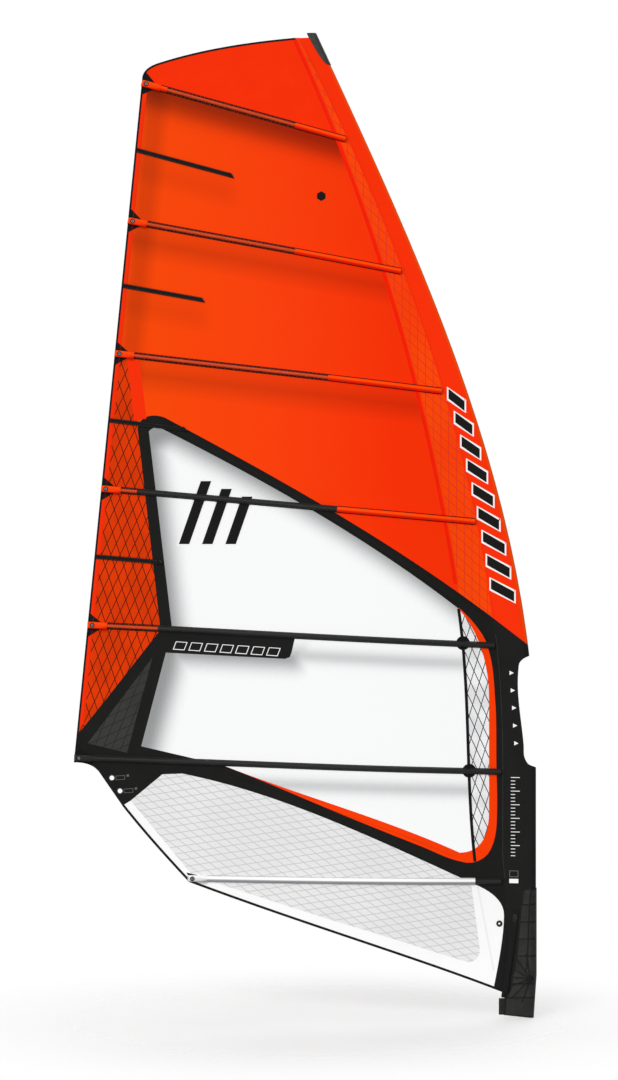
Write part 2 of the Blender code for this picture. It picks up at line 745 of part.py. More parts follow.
def fairing_half(name, side, finish):
    """One side of the moulded fairing, split along the front."""
    rear = fairing_rear_curve()
    front = Curve([(x, z) for z, x in FAIRING_FRONT])
    sections = []
    for z in FAIRING_ROWS:
        nose = front.x_at(z)
        rear_x = rear.x_at(z)

        def half(x, _, grow, nose=nose, rear_x=rear_x):
            return teardrop(x, nose, max(nose, FAIRING_RADIUS), rear_x, FAIRING_REAR_HALF, grow)

        slope = FAIRING_SLOPE if z == 0.0 else 0.0
        sections.append(shell_section(z, rear_x, nose, half, FAIRING_WALL, side, slope))
    points, faces = lofted(sections)
    obj = add_object(name, closed_mesh(name, points, faces), finish, 50)
    hinge = Vector((FAIRING_REAR[0][1], side * FAIRING_REAR_HALF, 0.0))
    obj.data.transform(Matrix.Translation(-hinge))
    obj.location = hinge
    return obj


def cap_section(z, rear, grow):
    nose = luff.x_at(z) + grow
    xs = spaced(rear, nose)
    port = [Vector((x, -sleeve_half(x, z, grow), z)) for x in xs]
    starboard = [Vector((x, sleeve_half(x, z, grow), z)) for x in reversed(xs[:-1])]
    return port + starboard


def head_cap(name, finish):
    """The moulded cap over the top of the sleeve's nose: a rounded back edge and a closed top."""
    outer = []
    for k in range(CAP_ROWS + 1):
        rise = (k / CAP_ROWS) ** 2
        z = CAP_BOTTOM + (HEAD_HEIGHT - CAP_BOTTOM) * rise
        reach = CAP_REACH[0] + (CAP_REACH[1] - CAP_REACH[0]) * math.sqrt(1 - (1 - rise) ** 2)
        outer.append(cap_section(z, luff.x_at(z) - reach, CAP_CLEARANCE + CAP_WALL))
    solid = closed_mesh(name, *lofted(outer))
    floor, ceiling = CAP_BOTTOM - 5 * PAST, SLEEVE_TOP + CAP_HEADROOM
    inner = []
    for k in range(CAP_ROWS // 2 + 1):
        z = floor + (ceiling - floor) * 2 * k / CAP_ROWS
        inner.append(cap_section(z, seam.x_at(z) + CAP_BEHIND, CAP_CLEARANCE))
    hollow = closed_mesh(name + "_hollow", *lofted(inner))
    return add_object(name, combined(name, solid, [hollow], "DIFFERENCE"), finish, 50)


# Tack fittings.


def placed_turned(name, profile, sides, closed, place, finish):
    mesh = closed_mesh(name, *turned(profile, sides, closed))
    obj = add_object(name, mesh, finish, 40)
    obj.location = place
    return obj


def grommet(name, place, hole, flange, finish):
    x, z = place
    rim = hole + flange
    barrel = hole + GROMMET_WALL
    outer, inner = GROMMET_HALF, GROMMET_HALF - GROMMET_PLATE
    profile = [(hole, -outer), (rim, -outer), (rim, -inner), (barrel, -inner)]
    profile += [(barrel, inner), (rim, inner), (rim, outer), (hole, outer)]
    return placed_turned(name, profile, 24, True, Vector((x, camber(x, z), z)), finish)


def pulley(finishes):
    x_low, x_high = BLOCK_X
    z_low, z_high = BLOCK_Z
    block = closed_mesh("block", *box_points((x_low, -BLOCK_HALF, z_low), (x_high, BLOCK_HALF, z_high)))
    inner = BLOCK_HALF - BLOCK_CHEEK
    throat_low = (x_low - PAST, -inner, z_low - PAST)
    throat_high = (x_high + PAST, inner, z_high - BLOCK_BRIDGE)
    throat = closed_mesh("throat", *box_points(throat_low, throat_high))
    bore = AXLE_RADIUS + RUNNING_GAP
    through = BLOCK_HALF + PAST
    profile = [(0, -through), (bore, -through), (bore, through), (0, through)]
    hole = closed_mesh("hole", *turned(profile, 20, False))
    axle_centre = Vector((AXLE_PLACE[0], 0.0, AXLE_PLACE[1]))
    hole.transform(Matrix.Translation(axle_centre))
    mesh = combined("block", block, [throat, hole], "DIFFERENCE")
    add_object("pulley_housing", mesh, finishes["moulded_black"])
    axle = [(0, -BLOCK_HALF), (AXLE_RADIUS, -BLOCK_HALF), (AXLE_RADIUS, BLOCK_HALF), (0, BLOCK_HALF)]
    placed_turned("pulley_axle", axle, 20, False, axle_centre, finishes["steel"])
    half = SHEAVE_WIDTH / 2
    rim, groove, flat = SHEAVE_RADIUS, SHEAVE_RADIUS - SHEAVE_GROOVE, SHEAVE_LIP / 2
    sheave = [(bore, -half), (rim, -half), (rim, SHEAVE_LIP - half), (groove, -flat)]
    sheave += [(groove, flat), (rim, half - SHEAVE_LIP), (rim, half), (bore, half)]
    for number in (1, 2, 3):
        shift = Vector((0.0, (number - 2) * SHEAVE_SPACING, 0.0))
        place = axle_centre + shift
        placed_turned(f"sheave_{number}", sheave, 20, True, place, finishes["moulded_black"])


def tack_webbing(name, finish):
    """A strap that runs down both sides of the tack and joins over the pulley block."""
    low, high = Vector(STRAP_LINE[0]), Vector(STRAP_LINE[1])
    along = (high - low).normalized()
    across = Vector((along.y, -along.x))
    length = (high - low).length
    top, bottom, t = STRAP_TOP_HALF, STRAP_BOTTOM_HALF, STRAP_THICKNESS
    outline = [(length, -top), (0.0, -bottom), (0.0, bottom), (length, top)]
    outline += [(length, top - t), (t, bottom - t), (t, -bottom + t), (length, -top + t)]
    sections = []
    for reach in (-STRAP_HALF_WIDTH, STRAP_HALF_WIDTH):
        section = []
        for distance, y in outline:
            point = low + along * distance + across * reach
            section.append(Vector((point.x, y, point.y)))
        sections.append(section)
    points, faces = lofted(sections)
    return add_object(name, closed_mesh(name, points, faces), finish)


# The sail's panels.


def batten_lines():
    lines = []
    for leech_z, luff_z in BATTEN_ENDS:
        lines.append(BattenLine((leech_x(leech_z), leech_z), (seam.x_at(luff_z), luff_z)))
    lines.append(BattenLine(*FOOT_BATTEN))
    return lines


def make_panels(lines, finishes):
    across = [Curve([line.start, line.end]) for line in lines]
    ends = [(line.start.x, line.start.y) for line in lines]
    ply_meets = [crossing(ply_seam, curve, -0.8) for curve in across[:3]]
    ply_top = PLY_CURVE[3]
    frame_ply = crossing(ply_seam, frame_top, -0.4)
    frame_seam = crossing(seam, frame_top, -0.2)
    ply_corner = (LEECH_PLY_TOP_X, across[2].z_at(LEECH_PLY_TOP_X))
    joint_z = FRAME_JOINT_Z + FRAME_JOINT_SLANT
    joint_luff = (window_luff.x_at(joint_z), joint_z)
    diagonal_end = (leech_x(CLEW_DIAGONAL_Z), CLEW_DIAGONAL_Z)
    corner = bezier(WINDOW_CORNER, 8)
    tape = bezier((*WINDOW_TAPE, corner[3]), 8)
    skirt = (*FRAME_SKIRT, (TACK_CORNER_X, foot.z_at(TACK_CORNER_X)))
    tack_edge = bezier(FRAME_TACK, 6) + bezier(skirt, 5)
    clew_joint = (CLEW_JOINT_X, frame_foot.z_at(CLEW_JOINT_X))
    orange, ply, black = finishes["film_orange"], finishes["ply_orange"], finishes["cloth_black"]

    def chord(number, start_x, end_x):
        return level(across[number], start_x, end_x)

    head_edge = bezier(HEAD_CORNER, 5)[::-1] + level(head, HEAD_CURVE[0][0], ply_top[0])
    cloth("head_panel", joined(
        head_edge,
        upright(ply_seam, ply_top[1], ply_meets[0][1]),
        chord(0, ply_meets[0][0], ends[0][0]),
    ), orange)
    for name, number in (("upper_panel", 0), ("middle_panel", 1)):
        cloth(name, joined(
            chord(number, ends[number][0], ply_meets[number][0]),
            upright(ply_seam, ply_meets[number][1], ply_meets[number + 1][1]),
            chord(number + 1, ply_meets[number + 1][0], ends[number + 1][0]),
        ), orange)
    cloth("lower_panel", joined(
        chord(2, ply_corner[0], ply_meets[2][0]),
        upright(ply_seam, ply_meets[2][1], frame_ply[1]),
        level(frame_top, frame_ply[0], FRAME_TOP[0][0]),
        FRAME_LEECH[:1:-1],
    ), orange)
    ply_heights = [ply_top[1], *(z for _, z in ply_meets), frame_ply[1]]
    cloth("luff_ply_panel", joined(
        *(upright(ply_seam, upper, lower) for upper, lower in zip(ply_heights, ply_heights[1:])),
        level(frame_top, frame_ply[0], frame_seam[0]),
        upright(seam, frame_seam[1], SEAM_CURVE[3][1]),
    ), ply)
    cloth("leech_ply_panel", joined(
        chord(2, ends[2][0], ply_corner[0]),
        FRAME_LEECH[2::-1],
        CLEW_DIAGONAL,
        upright(leech, diagonal_end[1], ends[2][1]),
    ), ply)
    cloth("window_film", joined(
        level(window_top, WINDOW_TOP[0][0], WINDOW_TOP[3][0]),
        tape,
        corner[3::-1],
        level(window_foot, WINDOW_FOOT[3][0], WINDOW_FOOT[0][0]),
        WINDOW_CLEW[::-1],
        WINDOW_LEECH[::-1],
    ), finishes["film_clear"])
    cloth("window_mesh_strip", joined(
        tape,
        corner[3:],
        upright(window_luff, WINDOW_CORNER[3][1], joint_luff[1]),
        upright(window_luff, joint_luff[1], WINDOW_LUFF[3][1]),
    ), finishes["ply_clear"])
    cloth("window_frame_top", joined(
        FRAME_LEECH,
        level(frame_top, FRAME_TOP[0][0], frame_ply[0]),
        level(frame_top, frame_ply[0], frame_seam[0]),
        upright(seam, frame_seam[1], FRAME_JOINT_Z),
        upright(window_luff, joint_luff[1], WINDOW_LUFF[3][1]),
        level(window_top, WINDOW_TOP[3][0], WINDOW_TOP[0][0]),
        WINDOW_LEECH,
    ), black)
    cloth("window_frame_foot", joined(
        upright(seam, FRAME_JOINT_Z, SEAM_FOOT[0][1]),
        [FOOT_CURVE[3]],
        tack_edge[::-1],
        level(frame_foot, FRAME_FOOT[3][0], clew_joint[0]),
        WINDOW_CLEW[3:],
        level(window_foot, WINDOW_FOOT[0][0], WINDOW_FOOT[3][0]),
        corner,
        upright(window_luff, WINDOW_CORNER[3][1], joint_luff[1]),
    ), black)
    notch = bezier(CLEW_NOTCH, 5)
    cloth_hole = GROMMET_HOLE + GROMMET_ROOM
    cloth("clew_patch", joined(
        CLEW_DIAGONAL,
        [diagonal_end],
        notch,
        FOOT_LEECH[:1],
        CLEW_LOWER,
        level(frame_foot, FRAME_FOOT[0][0], clew_joint[0]),
        WINDOW_CLEW[::-1],
        FRAME_LEECH[:1],
    ), black, [ring_points(place, cloth_hole) for place in GROMMET_PLACES])
    cloth("foot_panel", joined(
        FOOT_LEECH[:1],
        CLEW_LOWER,
        level(frame_foot, FRAME_FOOT[0][0], clew_joint[0]),
        level(frame_foot, clew_joint[0], FRAME_FOOT[3][0]),
        tack_edge,
        level(foot, TACK_CORNER_X, FOOT_CURVE[0][0]),
        FOOT_LEECH[::-1],
    ), finishes["cloth_white"], [ring_points(EYELET_PLACE, EYELET_HOLE + GROMMET_ROOM)])


def make_battens(lines, finishes):
    case = housing_mesh()
    dial = dial_mesh()
    for number, line in enumerate(lines, 1):
        pocket(f"batten_pocket_{number}", line, finishes[POCKET_FINISHES[number - 1]])
        batten(f"batten_{number}", line, finishes["batten_carbon"])
        tensioner(number, line, case, dial, finishes)
    for number, (leech_z, tip_z, length) in enumerate(MINI_BATTENS, 1):
        start = Vector((leech_x(leech_z), leech_z))
        drop = tip_z - leech_z
        end = start + Vector((math.sqrt(length**2 - drop**2), drop))
        mini_batten(f"mini_batten_{number}", BattenLine(start, end), finishes["batten_carbon"])


def make_sleeve(finishes):
    for side, word in ((-1, "port"), (1, "starboard")):
        upper = sleeve_wall(f"upper_sleeve_{word}", CUTOUT_TOP, SLEEVE_TOP, side)
        add_object(f"upper_sleeve_{word}", upper, finishes["film_orange"], 50)
        lower_sleeve(f"lower_sleeve_{word}", side, finishes["cloth_black"])
        fairing_half(f"fairing_{word}", side, finishes["moulded_black"])
    head_cap("head_cap", finishes["moulded_black"])


def make_fittings(finishes):
    metal = finishes["black_metal"]
    for word, place in zip(("upper", "lower"), GROMMET_PLACES):
        grommet(f"clew_grommet_{word}", place, GROMMET_HOLE, GROMMET_FLANGE, metal)
    grommet("tack_eyelet", EYELET_PLACE, EYELET_HOLE, EYELET_FLANGE, metal)
    pulley(finishes)
    tack_webbing("tack_webbing", finishes["cloth_black"])


def main():
    clear_scene()
    finishes = make_finishes()
    lines = batten_lines()
    make_panels(lines, finishes)
    make_battens(lines, finishes)
    make_sleeve(finishes)
    make_fittings(finishes)


main()
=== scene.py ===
"""Looks of the windsurf sail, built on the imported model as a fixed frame.

Metres, +Z up. The luff points to +X, the leech to -X and the port side to -Y. The side view's
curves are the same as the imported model's. Each panel, pocket and sleeve is a thin closed body that
follows the sail's curved surface.
"""

import math

import bmesh
import bpy
import numpy as np
from mathutils import Matrix, Vector
from mathutils.geometry import delaunay_2d_cdt


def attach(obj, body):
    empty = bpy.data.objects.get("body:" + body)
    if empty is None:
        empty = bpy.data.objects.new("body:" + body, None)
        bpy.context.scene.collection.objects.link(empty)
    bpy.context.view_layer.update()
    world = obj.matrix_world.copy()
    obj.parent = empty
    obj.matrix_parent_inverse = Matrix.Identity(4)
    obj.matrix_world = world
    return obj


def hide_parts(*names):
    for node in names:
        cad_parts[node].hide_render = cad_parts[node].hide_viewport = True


# Driving dimensions of the sail's side view: (x, z) in metres.
HEAD_HEIGHT = 5.068
NOSE = 0.030  # front of the sleeve, ahead of the mast axis, below the boom cutout
LUFF_CURVE = ((NOSE, 1.289), (0.031, 2.638), (-0.546, 3.871), (-1.104, HEAD_HEIGHT))
SEAM_CURVE = ((-0.145, 1.265), (-0.128, 2.565), (-0.602, 3.903), (-1.191, 5.046))
SEAM_FOOT = ((-0.100, 0.135), (-0.112, 0.520), (-0.145, 0.820))
PLY_CURVE = ((-0.369, 2.201), (-0.519, 3.178), (-0.789, 4.146), (-1.206, 5.0447))
LEECH_TOP = (-1.996, 4.847)
CLEW = (-2.349, 1.314)
HEAD_CURVE = ((-1.909, 4.916), (-1.677, 4.990), (-1.434, 5.025), (-1.191, 5.046))
HEAD_CORNER = ((-1.909, 4.916), (-1.950, 4.903), (-1.985, 4.885), LEECH_TOP)
FOOT_CURVE = ((-1.757, 0.700), (-1.215, 0.499), (-0.658, 0.331), (-0.120, 0.123))
FOOT_LEECH = ((-2.100, 1.091), (-1.962, 0.917), (-1.757, 0.700))
CLEW_NOTCH = (CLEW, (-2.270, 1.314), (-2.235, 1.290), (-2.210, 1.250))
TACK_CORNER_X = -0.1885

# The black window frame and what it joins.
FRAME_TOP = ((-1.885, 3.091), (-1.241, 2.748), (-0.594, 2.384), (-0.022, 1.927))
FRAME_LEECH = ((-1.906, 2.019), (-2.022, 3.035), (-1.992, 3.085), (-1.942, 3.102))
WINDOW_TOP = ((-1.908, 3.038), (-1.380, 2.772), (-0.842, 2.470), (-0.370, 2.106))
WINDOW_LEECH = ((-1.908, 3.038), (-1.942, 3.044), (-1.964, 3.018), (-1.846, 2.019))
WINDOW_CLEW = ((-1.846, 2.019), (-1.877, 1.875), (-2.003, 1.397), (-1.732, 1.335))
WINDOW_FOOT = ((-1.564, 1.294), (-1.164, 1.142), (-0.752, 1.032), (-0.364, 0.851))
WINDOW_CORNER = ((-0.364, 0.851), (-0.280, 0.851), (-0.212, 0.900), (-0.212, 1.061))
WINDOW_LUFF = ((-0.212, 1.644), (-0.212, 1.800), (-0.255, 1.980), (-0.370, 2.106))
WINDOW_TAPE = ((-0.370, 2.106), (-0.307, 1.674), (-0.335, 1.237))
FRAME_FOOT = ((-1.791, 1.257), (-1.263, 1.155), (-0.770, 0.914), (-0.285, 0.687))
FRAME_TACK = ((-0.285, 0.687), (-0.200, 0.650), (-0.135, 0.600), (-0.135, 0.527))
FRAME_SKIRT = ((-0.135, 0.527), (-0.135, 0.420), (-0.165, 0.270))
FRAME_JOINT_Z = 1.915
FRAME_JOINT_SLANT = 0.018  # the joint between the frame's two parts rises this much towards the window
CLEW_DIAGONAL = ((-1.913, 1.985), (-2.187, 1.635))
CLEW_DIAGONAL_Z = 1.451
CLEW_LOWER = ((-2.057, 1.117), (-1.894, 1.253))
CLEW_JOINT_X = -1.712
LEECH_PLY_TOP_X = -2.043

# Heights of each batten's leech end and luff end. The last one starts on the foot, not on the leech.
BATTEN_ENDS = (
    (4.812, 4.518),
    (4.104, 3.840),
    (3.420, 3.224),
    (2.724, 2.553),
    (2.022, 1.915),
    (1.338, 1.265),
)
FOOT_BATTEN = ((-1.762, 0.718), (-0.145, 0.701))
# Leech height, height of the inner tip and length of each short leech batten.
MINI_BATTENS = (
    (4.469, 4.331, 0.529),
    (3.770, 3.692, 0.437),
    (3.076, 3.027, 0.413),
    (2.374, 2.343, 0.353),
)

# The sail's fullness as the cloth curves towards port.
DEPTH = 0.090
TACK_HEIGHT = 0.10
RISE_SCALE = 6.75  # makes the greatest value of t (1 - t)^2 one
CHORD_SCALE = 17.54  # makes the greatest value of u^1.5 (1 - u)^3 one
SAME_PLACE = 1e-4  # outline points nearer than this are one point

# Spacing of the points on a panel, and half the thickness of each layer of cloth.
GRID = 0.045
FINE_GRID = 0.02  # for the sheets that meet along the window's curved front
FILM_HALF = 0.0003
CLOTH_HALF = 0.0005
OVERLAY_HALF = 0.0008
TAPE_HALF = 0.0011
INK_HALF = 0.0013

# Sleeve.
SLEEVE_TAPER = 0.0024  # loss of nose radius for each metre of height
SLEEVE_BOTTOM = 0.190
SLEEVE_TOP = 5.044
CUTOUT_TOP = 1.862
CUTOUT_EDGE = (
    (0.029, 1.2885),
    (-0.009, 1.3045),
    (-0.029, 1.337),
    (-0.0345, 1.403),
    (-0.061, 1.797),
    (-0.058, 1.823),
    (-0.037, 1.848),
    (-0.007, CUTOUT_TOP),
)
CUTTER_REACH = 0.080
PAST = 0.010  # how far a cutting shape runs on past the surface it opens
SIDE_STEPS = 16
SLEEVE_WALL = 0.001
SLEEVE_REAR = 0.0015
SLEEVE_FLANGE = 0.004  # how far the sleeve's walls lap over the panels behind the seam
SIDES = ((-1, "port"), (1, "starboard"))
SEAM_ROOM = 0.0004  # between the sleeve and the fairing where their walls meet
TUCK = 0.008  # how far the sleeve runs in under the fairing's rear edge
TUCK_TOP = 0.600  # the height at which it no longer does
TUCK_FADE = 0.040  # the height over which the tuck closes
SLEEVE_ROW = 0.04

# Pockets, in each batten's own line: up along the cloth and out to port from it.
POCKET_HEIGHT = 0.033
POCKET_OFFSET = 0.0120  # centre of the pocket from the middle of the cloth
HOUSING_START = 0.006
HOUSING_LENGTH = 0.080
DIAL_PLACE = 0.024
DIAL_RADIUS = 0.011
POCKET_CLEARANCE = 0.005
POCKET_WALL = 0.0007
FLANGE_OUT = 0.0016
HUMP_HALF = 0.0138
CLEAR_HALF = 0.0090
HUMP_OUT = 0.0214  # room for the curved rod to shift sideways as it slides forward
POCKET_SPACING = 0.03  # close enough that a pocket keeps to the curve of its batten
HUMP_ROUND = 0.75  # lower makes a pocket's section squarer
COVER_OUT = 0.0222
COVER_HALF = 0.0164
COVER_ROUND = 0.09
COVER_END = 0.100
MINI_HEIGHT = 0.020

# Fittings.
GROMMET_HOLE = 0.012
GROMMET_PLACES = ((-2.154, 1.234), (-2.112, 1.167))
EYELET_HOLE = 0.005
EYELET_PLACE = (-0.159, 0.484)
FAIRING_TOP = 0.669
FAIRING_WALL = 0.004
FAIRING_RADIUS = 0.0295
FAIRING_REAR_HALF = 0.024
FAIRING_REAR = (
    (0.0, -0.138),
    (0.100, -0.132),
    (0.143, -0.106),
    (0.338, -0.076),
    (0.545, -0.055),
    (0.604, -0.049),
)
FAIRING_CORNER = ((0.604, -0.049), (0.645, -0.045), (0.668, -0.025), (FAIRING_TOP, 0.005))
FAIRING_FRONT = ((0.0, 0.0185), (0.220, 0.0335), (FAIRING_TOP, 0.0335))
FAIRING_SLOPE = 0.10  # the bottom edge rises towards the rear
FAIRING_SPACE_FOOT = 0.1  # the sleeve is cut away round the fairing above this height
STRAP_LINE = ((-0.1345, 0.1025), (-0.0757, 0.545))
STRAP_HALF_WIDTH = 0.0145
STRAP_THICKNESS = 0.002
STRAP_TOP_HALF = 0.0215
STRAP_BOTTOM_HALF = 0.0070

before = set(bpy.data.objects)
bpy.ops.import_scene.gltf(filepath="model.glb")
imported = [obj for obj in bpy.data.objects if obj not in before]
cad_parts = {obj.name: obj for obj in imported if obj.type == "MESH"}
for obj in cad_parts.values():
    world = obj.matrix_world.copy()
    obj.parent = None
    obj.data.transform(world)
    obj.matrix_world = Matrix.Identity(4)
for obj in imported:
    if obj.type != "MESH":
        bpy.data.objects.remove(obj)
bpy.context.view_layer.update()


# Curves in the side view.


def bezier(points, count=24):
    """Points along a Bezier curve of any degree."""
    degree = len(points) - 1
    found = []
    for step in range(count + 1):
        t = step / count
        weights = [math.comb(degree, k) * t**k * (1 - t) ** (degree - k) for k in range(degree + 1)]
        x = sum(w * p[0] for w, p in zip(weights, points))
        z = sum(w * p[1] for w, p in zip(weights, points))
        found.append((x, z))
    return found


class Curve:
    """A curve read either as x at a height or as z at a place along the chord."""

    def __init__(self, points):
        self.points = np.array(points)

    def x_at(self, z):
        order = np.argsort(self.points[:, 1])
        return float(np.interp(z, self.points[order, 1], self.points[order, 0]))

    def z_at(self, x):
        order = np.argsort(self.points[:, 0])
        return float(np.interp(x, self.points[order, 0], self.points[order, 1]))


def spread(start, end, spacing):
    """Values from start to end, no further apart than the spacing."""
    count = max(1, math.ceil(abs(end - start) / spacing - 1e-6))
    return [start + (end - start) * k / count for k in range(count + 1)]


def upright(curve, start_z, end_z):
    return [(curve.x_at(z), z) for z in spread(start_z, end_z, GRID)]


def level(curve, start_x, end_x):
    return [(x, curve.z_at(x)) for x in spread(start_x, end_x, GRID)]


def crossing(upright_curve, level_curve, x):
    """Where a curve read by height meets one read along the chord, found from a first guess of x."""
    for _ in range(40):
        z = level_curve.z_at(x)
        x = upright_curve.x_at(z)
    return x, z


luff = Curve([(NOSE, 0.0), *bezier(LUFF_CURVE)])
seam = Curve([*SEAM_FOOT, *bezier(SEAM_CURVE)])
ply_seam = Curve(bezier(PLY_CURVE))
leech = Curve([CLEW, LEECH_TOP])
head = Curve(bezier(HEAD_CURVE))
foot = Curve(bezier(FOOT_CURVE))
frame_top = Curve(bezier(FRAME_TOP))
frame_foot = Curve(bezier(FRAME_FOOT))
window_top = Curve(bezier(WINDOW_TOP))
window_foot = Curve(bezier(WINDOW_FOOT))
window_luff = Curve([WINDOW_CORNER[3], *bezier(WINDOW_LUFF)])


def leech_x(z):
    """The leech's line, carried on below the clew for measuring the chord."""
    slope = (LEECH_TOP[0] - CLEW[0]) / (LEECH_TOP[1] - CLEW[1])
    return CLEW[0] + slope * (z - CLEW[1])


def camber(x, z):
    """How far the cloth stands towards port: none at the sleeve, the leech, the tack and the head."""
    front = seam.x_at(z)
    u = min(max((front - x) / (front - leech_x(z)), 0.0), 1.0)
    t = min(max((z - TACK_HEIGHT) / (HEAD_HEIGHT - TACK_HEIGHT), 0.0), 1.0)
    depth = DEPTH * RISE_SCALE * t * (1 - t) ** 2
    return -depth * CHORD_SCALE * u**1.5 * (1 - u) ** 3


def signed_area(outline):
    total = 0.0
    for (x0, z0), (x1, z1) in zip(outline, outline[1:] + outline[:1]):
        total += x0 * z1 - x1 * z0
    return total / 2


def joined(*edges):
    """One outline, anticlockwise as seen from port, from edges laid end to end."""
    points = []
    for edge in edges:
        for point in edge:
            if not points or math.dist(point, points[-1]) > SAME_PLACE:
                points.append(point)
    if math.dist(points[0], points[-1]) <= SAME_PLACE:
        points.pop()
    return points if signed_area(points) > 0 else points[::-1]


def rectangle_outline(corner, along, across):
    """A parallelogram from a corner and its two sides."""
    (x, z), (ax, az), (bx, bz) = corner, along, across
    return joined([(x, z), (x + ax, z + az), (x + ax + bx, z + az + bz), (x + bx, z + bz)])


def beside(path, distance):
    """The path moved sideways by a distance, to its left as it runs."""
    found = []
    for k, point in enumerate(path):
        before = Vector(path[max(k - 1, 0)])
        after = Vector(path[min(k + 1, len(path) - 1)])
        along = (after - before).normalized()
        found.append((point[0] - along.y * distance, point[1] + along.x * distance))
    return found


def band(path, left, right):
    """The outline of a strip along a path, between two distances to its left."""
    return joined(beside(path, left), beside(path, right)[::-1])


def smooth_path(points, count=40):
    """An even curve through the points."""
    places = np.array(points, float)
    at = np.concatenate([[0.0], np.cumsum(np.linalg.norm(np.diff(places, axis=0), axis=1))])
    slopes = np.gradient(places, at, axis=0)
    found = []
    for s in np.linspace(0.0, at[-1], count + 1):
        k = min(int(np.searchsorted(at, s, side="right")) - 1, len(at) - 2)
        h = at[k + 1] - at[k]
        t = (s - at[k]) / h
        a, b = places[k], places[k + 1]
        value = (2 * t**3 - 3 * t**2 + 1) * a + (t**3 - 2 * t**2 + t) * h * slopes[k]
        value = value + (3 * t**2 - 2 * t**3) * b + (t**3 - t**2) * h * slopes[k + 1]
        found.append((float(value[0]), float(value[1])))
    return found


def ring_points(centre, radius, count=16):
    x, z = centre
    angles = [2 * math.pi * k / count for k in range(count)]
    return [(x + radius * math.cos(a), z + radius * math.sin(a)) for a in angles]


def fitted_size(outline):
    """Width and length of the smallest rectangle that the outline fits in."""
    points = np.array(outline)
    best = None
    for degrees in range(0, 90, 3):
        angle = math.radians(degrees)
        turn = np.array([[math.cos(angle), -math.sin(angle)], [math.sin(angle), math.cos(angle)]])
        spans = np.ptp(points @ turn, axis=0)
        if best is None or spans[0] * spans[1] < best[0] * best[1]:
            best = (float(spans[0]), float(spans[1]))
    area = signed_area(outline)
    if area > 0.35 * best[0] * best[1]:
        return min(best), max(best)
    # A bent strip is sized along its own length.
    length = sum(math.dist(a, b) for a, b in zip(outline, outline[1:] + outline[:1])) / 2
    return area / length, length


# Building meshes.


def closed_mesh(name, points, faces):
    """A mesh from points and faces, with its faces turned outwards."""
    mesh = bpy.data.meshes.new(name)
    mesh.from_pydata([tuple(p) for p in points], [], faces)
    body = bmesh.new()
    body.from_mesh(mesh)
    bmesh.ops.recalc_face_normals(body, faces=body.faces)
    body.to_mesh(mesh)
    body.free()
    return mesh


def lofted(sections):
    """Points and faces of a body through closed sections."""
    points = []
    faces = []
    count = len(sections[0])
    for section in sections:
        points += section
    for row in range(len(sections) - 1):
        for k in range(count):
            a = row * count + k
            b = row * count + (k + 1) % count
            faces.append((a, b, b + count, a + count))
    last = (len(sections) - 1) * count
    return points, faces + [tuple(range(count)), tuple(range(last, last + count))]


def turned(profile, sides, closed):
    """A body of revolution about Y, from (radius, y) points. A closed profile makes a ring."""
    points = []
    index = []
    for radius, y in profile:
        row = []
        for k in range(sides if radius > 0 else 1):
            angle = 2 * math.pi * k / sides
            row.append(len(points))
            points.append((radius * math.cos(angle), y, radius * math.sin(angle)))
        index.append(row)
    pairs = list(zip(index, index[1:] + index[:1])) if closed else list(zip(index, index[1:]))
    faces = []
    for first, second in pairs:
        for k in range(sides):
            n = (k + 1) % sides
            corners = [first[k % len(first)], first[n % len(first)]]
            corners += [second[n % len(second)], second[k % len(second)]]
            face = tuple(dict.fromkeys(corners))
            if len(face) > 2:
                faces.append(face)
    return points, faces


def carved(name, base, tools):
    """The base mesh with every tool mesh cut from it."""
    target = bpy.data.objects.new(name, base)
    bpy.context.scene.collection.objects.link(target)
    helpers = []
    for tool in tools:
        helper = bpy.data.objects.new(name + "_tool", tool)
        bpy.context.scene.collection.objects.link(helper)
        modifier = target.modifiers.new("boolean", "BOOLEAN")
        modifier.operation = "DIFFERENCE"
        modifier.object = helper
        helpers.append(helper)
    bpy.context.view_layer.update()
    evaluated = target.evaluated_get(bpy.context.evaluated_depsgraph_get())
    mesh = bpy.data.meshes.new_from_object(evaluated)
    for obj in (target, *helpers):
        bpy.data.objects.remove(obj)
    return mesh


def within(points, loop):
    """Which of the points lie inside the loop."""
    x, z = points[:, 0], points[:, 1]
    found = np.zeros(len(points), bool)
    for (x0, z0), (x1, z1) in zip(loop, loop[1:] + loop[:1]):
        if z0 != z1:
            crosses = (z0 > z) != (z1 > z)
            found ^= crosses & (x < x0 + (z - z0) * (x1 - x0) / (z1 - z0))
    return found


def clearance(points, path):
    """Each point's distance to the path."""
    nearest = np.full(len(points), np.inf)
    for start, end in zip(path, path[1:]):
        a, b = np.array(start), np.array(end)
        span = b - a
        t = np.clip((points - a) @ span / (span @ span), 0.0, 1.0)
        nearest = np.minimum(nearest, np.linalg.norm(points - a - t[:, None] * span, axis=1))
    return nearest


def refined(outline, spacing):
    """The outline with no edge longer than the spacing."""
    found = []
    for start, end in zip(outline, outline[1:] + outline[:1]):
        parts = max(1, math.ceil(math.dist(start, end) / spacing))
        for k in range(parts):
            t = k / parts
            found.append((start[0] + t * (end[0] - start[0]), start[1] + t * (end[1] - start[1])))
    return found


